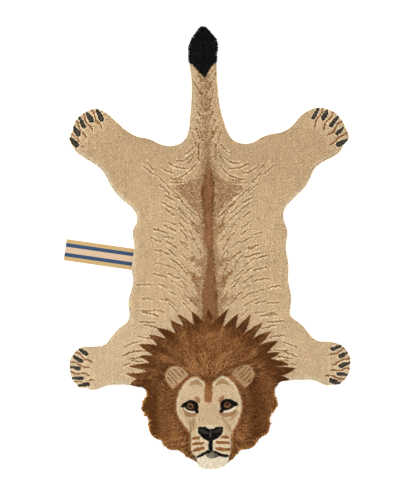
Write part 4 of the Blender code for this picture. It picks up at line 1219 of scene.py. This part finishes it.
# The face is drawn with leaf-shaped patches of yarn, each over the ones before it. A share below 1 lets the
# yarns under it through, and no two tufts alike.
FACE_LEAVES = [Leaf(*row) for row in (
    ("bridge", BRIDGE_TAN, 0.9, 14, -562, 92, 90, 31, 31, 0.35, 1),
    ("left cheek", BRIDGE_TAN, 0.5, -62, -582, 84, -58, 14, 14, 0.5, 1),
    ("right cheek", BRIDGE_TAN, 0.5, 92, -582, 84, 58, 14, 14, 0.5, 1),
    ("pale round the nose", CREAM, 0.8, 18.5, -617, 102, 0, 20, 36, 0.55, 1),
    ("left whisker pad", CREAM, 0.95, -17, -668, 62, 0, 34, 38, 0.4, 1),
    ("right whisker pad", CREAM, 0.95, 58, -668, 64, 0, 34, 38, 0.4, 1),
    ("chin", CHIN_CREAM, 1.0, 25, -710, 112, 0, 14, 48, 0.3, 1),
    ("left tear", OLIVE, 0.8, -43, -598, 56, 78, 5, 11, 0.6, 1.5),
    ("left tear line", OLIVE_DARK, 0.65, -39, -590, 30, 90, 1.7, 1.7, 0.3, 1),
    ("left cheek line", OLIVE_DARK, 0.55, -54, -590, 44, -68, 1.6, 1.6, 0.5, 1),
    ("right tear", OLIVE, 0.75, 74, -598, 60, -59, 5, 5, 0.5, 1),
    ("right tear line", OLIVE_DARK, 0.55, 86, -609, 30, -72, 1.6, 1.6, 0.3, 1),
    ("right cheek hollow", OLIVE, 0.8, 96, -567, 44, 50, 3, 9, 0.5, 1),
    ("left muzzle line", OLIVE_DARK, 0.8, -49, -628, 104, 90, 1.9, 1.5, 0.2, 1),
    ("right muzzle line", OLIVE_DARK, 0.75, 88.5, -660, 74, 90, 1.7, 1.8, 0.2, 1),
    ("forehead stripe", STRIPE_BROWN, 1.0, 12.5, -483, 78, 88, 14.5, 13, 0.13, 1),
    ("stripe knot", OLIVE_DARK, 0.5, 16, -484, 22, 90, 4, 3, 0.5, 1),
    ("left brow", OLIVE, 1.0, -31.5, -475, 45, -6, 29, -13, 0.42, 1),
    ("right brow", OLIVE, 1.0, 59, -472, 46, 4, 28, -12, 0.42, 1),
    ("left lid patch", RUST, 0.95, -27.5, -514, 25, -52, 11, 5, 0.6, 1),
    ("right lid patch", RUST, 0.95, 56, -511, 30, 60, 8, 8, 0.6, 0.8),
    ("under the left eye", RUST, 0.88, -47, -546, 54, -9, 6, 26.5, 0.5, 1),
    ("under the right eye", RUST, 0.85, 77, -554, 58, 11, 4, 17, 0.5, 1),
    ("white of the left eye", CHIN_CREAM, 1.0, -47.5, -541, 50, -12, 10, 16, 0.5, 1),
    ("white of the right eye", CHIN_CREAM, 1.0, 77.5, -541, 54, 14, 6, 15.5, 0.5, 1),
    ("left eye rim", BLACK, 1.0, -45.7, -534.5, 49, -10, 20.5, 17, 0.46, 1),
    ("left outer corner", BLACK, 1.0, -67, -529.5, 34, 31, 7.5, 7.5, 0.75, 1),
    ("left inner corner", BLACK, 1.0, -29.5, -551, 23, -42, 7, 5.5, 0.6, 1),
    ("right eye rim", BLACK, 1.0, 74.8, -531.3, 50, 12, 21, 17, 0.46, 1),
    ("right outer corner", BLACK, 1.0, 97, -525, 35, -23, 8.5, 9, 0.75, 1),
    ("right inner corner", BLACK, 1.0, 57.5, -548, 23, 44, 6.5, 7, 0.6, 1),
    ("left iris", IRIS, 1.0, -49.5, -534.5, 22, -8, 10, 9.8, 0.5, 1),
    ("right iris", IRIS, 1.0, 76, -531, 22.5, 10, 10.2, 9.6, 0.5, 1),
    ("left pupil", BLACK, 1.0, -49, -535, 12, 0, 5.5, 5.5, 0.5, 1),
    ("right pupil", BLACK, 1.0, 76.5, -529.3, 11.5, 0, 5.2, 5.2, 0.5, 1),
    ("left of the bridge", RUST, 0.8, -19, -578, 20, 84, 2, 2, 0.4, 1),
    ("right of the bridge", RUST, 0.55, 43, -575, 14, -42, 1.7, 1.7, 0.4, 1),
    ("right eye corner", RUST, 0.8, 57, -578, 16, -48, 2, 2, 0.4, 1),
    ("nose top", BLACK, 1.0, 18.4, -615.2, 85, 0, 11.5, 12, 0.08, 1),
    ("nose wedge", BLACK, 1.0, 18.4, -624, 84, 0, 3, 29, 0.95, 1),
    ("nose dip", CREAM, 1.0, 18.8, -603.5, 34, 0, 2, 8.5, 0.9, 1),
    ("left nostril shine", NOSE_GREY, 0.9, -3, -620.5, 38, -22, 4.5, 6, 0.5, 1),
    ("right nostril shine", NOSE_GREY, 0.9, 43, -618, 32, 19, 4, 6, 0.5, 1),
    ("nose middle", NOSE_PALE, 0.85, 18.6, -629, 26, 90, 4, 4, 0.5, 1),
    ("furrow", BLACK, 1.0, 19.6, -668, 52, -90, 7.4, 7.4, 0.12, 1),
    ("left of the mouth", BLACK, 1.0, -1.5, -694.5, 60, 25.7, 5, 6, 0.3, 1.2),
    ("right of the mouth", BLACK, 1.0, 50.3, -691.8, 65, -20, -0.5, 12.5, 0.45, 1),
    ("right mouth corner", BLACK, 1.0, 71.5, -702, 20, -4, 4.8, 4.8, 0.25, 1),
    ("lip", LIP_GREY, 0.95, 24.5, -703, 42, 0, 14, 9, 0.9, 1),
    ("whisker row", WHISKER_BROWN, 1.0, -30.3, -643, 28, 10, 5.2, 5.0, 0.3, 1),
    ("whisker row", WHISKER_BROWN, 1.0, -23.5, -661.5, 43, 3, 5.5, 5.3, 0.3, 1),
    ("whisker row", WHISKER_BROWN, 1.0, -21.5, -680.7, 45, 17, 6.2, 6.0, 0.3, 1),
    ("whisker row", WHISKER_BROWN, 1.0, 68, -640, 31, -2, 5.2, 5.0, 0.3, 1),
    ("whisker row", WHISKER_BROWN, 1.0, 60, -658, 50, -2, 5.5, 5.3, 0.3, 1),
    ("whisker row", WHISKER_BROWN, 1.0, 61, -680.5, 52, -5, 6.4, 6.2, 0.3, 1),
)]


def face_yarns(spots, seed):
    """The colour of the face's yarn at each spot. The tufter's hand wavers a little at every edge."""
    rng = np.random.default_rng(seed)
    shades = np.tile(yarn(FACE_TAN), (len(spots), 1))
    gap = gap_to_ring(spots, face_area)
    pale = PALE_EDGE_SHARE * smooth_share(gap, *PALE_EDGE) * (1 - smooth_share(gap, *PALE_EDGE_ENDS))
    shades = mixed(shades, yarn(CREAM), pale[:, None])
    waver = np.column_stack([drift(spots, WAVER_SIZE, 61.0), drift(spots, WAVER_SIZE, 67.0)])
    for leaf in FACE_LEAVES:
        own = within(spots + waver * (ROUGH_WAVER if leaf.tone in ROUGH_TONES else WAVER), leaf_ring(leaf))
        share = leaf.share * np.where(leaf.share < 1, rng.uniform(0.75, 1.0, (own.sum(), 1)), 1.0)
        shades[own] = mixed(shades[own], yarn(leaf.tone), share)
        if leaf.place == "lip":
            shades[own & (rng.random(len(spots)) < LIP_DOTS)] = yarn(BLACK)
    return shades * (1 + drifted(spots, MOTTLES) + rng.normal(0, FACE_VARIES, len(spots)))[:, None]


def ear_yarns(spots, ear, area, seed):
    """The colour of an ear's yarn: pale at its edge, with dark lines drawn across it."""
    rng = np.random.default_rng(seed)
    shades = np.tile(yarn(ear.tone), (len(spots), 1))
    lean = math.radians(ear.turn - 90)
    along = np.array((math.cos(lean), math.sin(lean)))
    across = np.array((-along[1], along[0]))
    middle = np.array((ear.x, ear.y)) * MM - along * (ear.over - ear.under) / 2 * MM
    for number in range(-2, 3):
        centre = middle + across * (number * EAR_LINE_GAP + rng.normal(0, 0.0012))
        centre = centre + along * rng.normal(0, 0.004)
        share = np.linspace(-1, 1, 9)[:, None]
        half = EAR_LINE_HALF - EAR_LINE_SHORTER * abs(number) + rng.normal(0, 0.002)
        bow = (1 - share ** 2) * EAR_LINE_BOW + rng.normal(0, 0.0004, (9, 1))
        line = centre + along * share * half + across * bow
        strokes_on(spots, shades, line, EAR_LINE_WIDTH, EAR_LINE, rng.uniform(*EAR_LINE_SHARE))
    edge = gap_to_ring(spots, area) < EAR_EDGE
    shades[edge] = mixed(shades[edge], yarn(EAR_PALE), EAR_EDGE_SHARE)
    return shades * (1 + rng.normal(0, 0.08, len(spots)))[:, None]


def edged(area, spots):
    """A finely tufted patch: one row of tufts close along its edge, and the field's own spots inside it."""
    row = spaced(area, FACE_EDGE_PITCH)
    turned = np.sign((area[:, 0] * np.roll(area[:, 1], -1) - np.roll(area[:, 0], -1) * area[:, 1]).sum())
    row = row - outward(row) * turned * FACE_ROW_INSET
    return np.vstack([row[within(row, area)], spots[gap_to_ring(spots, area) > FACE_FIELD_INSET]])


rng = np.random.default_rng(4)
face_wool = wool("face wool", 1000.0, 0.4, 0.0)
face = edged(face_area, grid_in(face_area, FACE_PITCH))
face = face[within(face, pelt)]
face = face[gap_to_ring(face, pelt) > RIM_INSET]
face += rng.normal(0, FACE_SPOT_VARIES, face.shape)
face_tops = np.minimum(pile_top(face, 0.015), FACE_TOP_LIMIT) + rng.normal(0, FACE_TOP_VARIES, len(face))
face_pieces = [tufts("face", face, face_tops, face_yarns(face, 24), face_wool, 34,
                     radius=FACE_RADIUS, shows=FACE_SHOWS)]
for number, (ear, area) in enumerate(zip(EARS, ear_areas)):
    spots = edged(area, grid_in(area, FACE_PITCH))
    spots += rng.normal(0, FACE_SPOT_VARIES, spots.shape)
    ear_tops = np.minimum(np.maximum(pile_top(spots, 0.017), EAR_LOW), EAR_HIGH)
    ear_tops += rng.normal(0, FACE_TOP_VARIES, len(spots))
    face_pieces.append(tufts("ear_" + ear.place, spots, ear_tops, ear_yarns(spots, ear, area, 25 + number),
                             face_wool, 35 + number, radius=FACE_RADIUS, shows=EAR_SHOWS))
chin_rim, chin_out = edge_spots()
own = within(chin_rim, face_area)
chin_tops = np.full(own.sum(), CHIN_TOP) + rng.normal(0, CHIN_TOP_VARIES, own.sum())
face_pieces.append(tufts("chin_edge", chin_rim[own], chin_tops, face_yarns(chin_rim[own], 27), face_wool, 37,
                         radius=RIM_RADIUS, shows=CHIN_SHOWS, lean=chin_out[own] * RIM_LEAN, sides=RIM_SIDES))
for piece in face_pieces:
    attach(piece, "root")
pile_pieces += face_pieces

# The tail tuft: black wool left long, up to 29 mm high, over the tail's end. Its ends stick out all round,
# and it comes to a point on the tail.
TAIL_AXIS = np.array(((-0.006, 0.610), (-0.007, 0.700)))
TUFT_BLACK = (17, 17, 17)
TUFT_GREY = (30, 30, 29)
TAIL_PITCH = 0.0034
TAIL_POINT_Y, TAIL_POINT_REACH = 0.625, 0.003
GREY_ENDS = 0.3

rng = np.random.default_rng(5)
tuft = grid_in(tuft_area, TAIL_PITCH, CLOSER_ROWS)
tuft = tuft[within(tuft, pelt)]
tuft += rng.normal(0, 0.0006, tuft.shape)
out = off_axis(tuft, TAIL_AXIS)
out /= np.linalg.norm(out, axis=1)[:, None] + 1e-6
out = unit(out + rng.normal(0, 0.7, out.shape))
rim_gap = gap_to_ring(tuft, pelt)
reach = np.minimum(rng.uniform(0.006, 0.013, len(tuft)), rim_gap + rng.uniform(-0.001, 0.0038, len(tuft)))
reach = np.maximum(reach, 0.002)
on_point = tuft[:, 1] < TAIL_POINT_Y
reach[on_point] = TAIL_POINT_REACH
out[on_point] = out[on_point] * 0.3 + np.array((0, -1))
leans = out * reach[:, None]
tops = pile_top(tuft, 0.020) + rng.normal(0, 0.0013, len(tuft))
tip_z = np.minimum(tops - 0.001, np.maximum(0.006, tops * (0.45 + rim_gap / 0.02)))
grey = (rng.random(len(tuft)) < GREY_ENDS)[:, None]
shades = np.where(grey, yarn(TUFT_GREY), yarn(TUFT_BLACK)) * (1 + rng.normal(0, 0.15, len(tuft)))[:, None]
black_wool = wool("black wool", 700.0, 0.8, 0.0)
# painted light: the tuft's strand ends are a little lighter than their roots
tuft_piece = strands("tail_tuft", tuft, np.minimum(0.009, tops - 0.007), leans, tip_z, tops,
                     on_point.astype(float), shades, shades * 1.1, black_wool, 38)
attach(tuft_piece, "root")
pile_pieces.append(tuft_piece)

# The pile's roots: under its cut ends the yarn stands packed on the canvas, so that no gap shows the
# backing, and its colours are mostly darkened as painted shade. It follows the pile's height 5 mm below the
# ends.
ROOTS_STEP = 0.009
ROOTS_BELOW = 0.0050
ROOTS_LOWEST = 0.0055
ROOTS_MISSED = 0.010
ROOTS_INSET, ROOTS_EDGE_STEP = 0.0046, 0.006
ROOTS_SUNK = 0.0004


def roots_top(spots):
    """The lowest of the pile's heights close round each spot, less the cut ends."""
    turns = np.linspace(0, 2 * math.pi, 8, endpoint=False)
    around = [spots, *(spots + ROOTS_STEP * np.array((math.cos(a), math.sin(a))) for a in turns)]
    lowest = np.min([pile_top(some, ROOTS_MISSED) for some in around], axis=0)
    return np.maximum(lowest - ROOTS_BELOW, ROOTS_LOWEST)


roots_ring = spaced(pelt - outward(pelt) * ROOTS_INSET, ROOTS_EDGE_STEP)
roots = slab("pile_roots", roots_ring, ROOTS_STEP,
             lambda spots: over_label(spots) + CANVAS_THICK - ROOTS_SUNK, roots_top)
under = np.array([v.co[:2] for v in roots.data.vertices])
# painted shade: the roots take the body's yarns darkened like the tufts' feet
under_shades = body_yarns(under, 26) * TUFT_FOOT_PAINTED_SHADE
own = within(under, mane_area) | (gap_to_ring(under, mane_area) < ROOTS_STEP)
# painted shade: the mane's roots are its darkest yarn, darkened further
under_shades[own] = yarn(MANE_DARK) * 0.8
for area, tone in ((face_area, FACE_TAN), *((area, ear.tone) for ear, area in zip(EARS, ear_areas))):
    own = within(under, area) & (gap_to_ring(under, area) > ROOTS_STEP)
    under_shades[own] = yarn(tone) * TUFT_FOOT_PAINTED_SHADE
under_shades[within(under, tuft_area)] = yarn(TUFT_BLACK)
dye = roots.data.color_attributes.new("yarn", "FLOAT_COLOR", "POINT")
dye.data.foreach_set("color", np.column_stack([under_shades, np.ones(len(under))]).ravel())
roots.data.materials.append(wool("root wool in painted shade", 500.0, 0.8, 0.0))
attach(roots, "root")
pile_pieces.append(roots)
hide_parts("rug")

# The label: a strip of woven ribbon with a turned hem at its free end, sewn under the left flank. It has
# plain stripes and no lettering.
LABEL_THICK = 0.0011
LABEL_COLUMNS, LABEL_ROWS = 96, 28
HEM_LENGTH, HEM_THICK = 0.009, 0.0017
RIPPLE, RIPPLE_END = 0.00012, 0.22
NAVY = (36, 64, 98)
MUSTARD = (188, 157, 106)
BLUSH = (201, 173, 144)
Band = namedtuple("Band", "start tone")
LABEL_BANDS = (Band(0.0, MUSTARD), Band(0.19, NAVY), Band(0.36, BLUSH), Band(0.64, NAVY), Band(0.81, MUSTARD))

ribbon = bmesh.new()
grid = []
for level in (0, 1):
    layer = []
    for i in range(LABEL_COLUMNS + 1):
        x = LABEL_LENGTH * i / LABEL_COLUMNS
        row = []
        for j in range(LABEL_ROWS + 1):
            y = LABEL_WIDTH * (j / LABEL_ROWS - 0.5)
            thick = HEM_THICK if x < HEM_LENGTH else LABEL_THICK
            ripple = RIPPLE * math.sin(x * 90 + 2 * math.sin(y * 60)) * (0 if x > RIPPLE_END else 1)
            row.append(ribbon.verts.new((x, y, thick + ripple if level else 0.0)))
        layer.append(row)
    grid.append(layer)
for i in range(LABEL_COLUMNS):
    for j in range(LABEL_ROWS):
        low, high = grid
        ribbon.faces.new((high[i][j], high[i + 1][j], high[i + 1][j + 1], high[i][j + 1]))
        ribbon.faces.new((low[i][j], low[i][j + 1], low[i + 1][j + 1], low[i + 1][j]))
for i in range(LABEL_COLUMNS):
    for j in (0, LABEL_ROWS):
        ribbon.faces.new((grid[0][i][j], grid[0][i + 1][j], grid[1][i + 1][j], grid[1][i][j]))
for j in range(LABEL_ROWS):
    for i in (0, LABEL_COLUMNS):
        ribbon.faces.new((grid[0][i][j], grid[0][i][j + 1], grid[1][i][j + 1], grid[1][i][j]))
bmesh.ops.recalc_face_normals(ribbon, faces=ribbon.faces)
label_mesh = bpy.data.meshes.new("label_ribbon")
ribbon.to_mesh(label_mesh)
ribbon.free()
label = bpy.data.objects.new("label_ribbon", label_mesh)
scene.collection.objects.link(label)
label.location = (LABEL_END.x, LABEL_END.y, 0)
label.rotation_euler.z = LABEL_TURN

woven, tree, shader = matter("woven ribbon", {
    "Roughness": 0.7, "Specular IOR Level": 0.3, "Sheen Weight": 0.15})
where = tree.nodes.new("ShaderNodeTexCoord")
apart = tree.nodes.new("ShaderNodeSeparateXYZ")
place = dial(tree.nodes.new("ShaderNodeMapRange"),
             {"From Min": -LABEL_WIDTH / 2, "From Max": LABEL_WIDTH / 2})
bands = tree.nodes.new("ShaderNodeValToRGB")
bands.color_ramp.interpolation = "CONSTANT"
stops = bands.color_ramp.elements
while len(stops) < len(LABEL_BANDS):
    stops.new(0.5)
for stop, band in zip(stops, LABEL_BANDS):
    stop.position = band.start
    stop.color = (*yarn(band.tone), 1.0)
ribs = dial(tree.nodes.new("ShaderNodeTexWave"), {"Scale": 420.0, "Distortion": 0.8})
ribs.bands_direction = "X"
tone = dial(tree.nodes.new("ShaderNodeMapRange"), {"To Min": 0.82, "To Max": 1.05})
dyed = tree.nodes.new("ShaderNodeVectorMath")
dyed.operation = "SCALE"
lift = dial(tree.nodes.new("ShaderNodeBump"), {"Distance": 0.0002, "Strength": 0.5})
joined(tree, (where, "Object", apart, "Vector"), (where, "Object", ribs, "Vector"),
       (apart, "Y", place, "Value"), (place, "Result", bands, "Fac"), (ribs, "Fac", tone, "Value"),
       (bands, "Color", dyed, 0), (tone, "Result", dyed, "Scale"), (dyed, "Vector", shader, "Base Color"),
       (ribs, "Fac", lift, "Height"), (lift, "Normal", shader, "Normal"))
label_mesh.materials.append(woven)
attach(label, "root")
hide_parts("label")
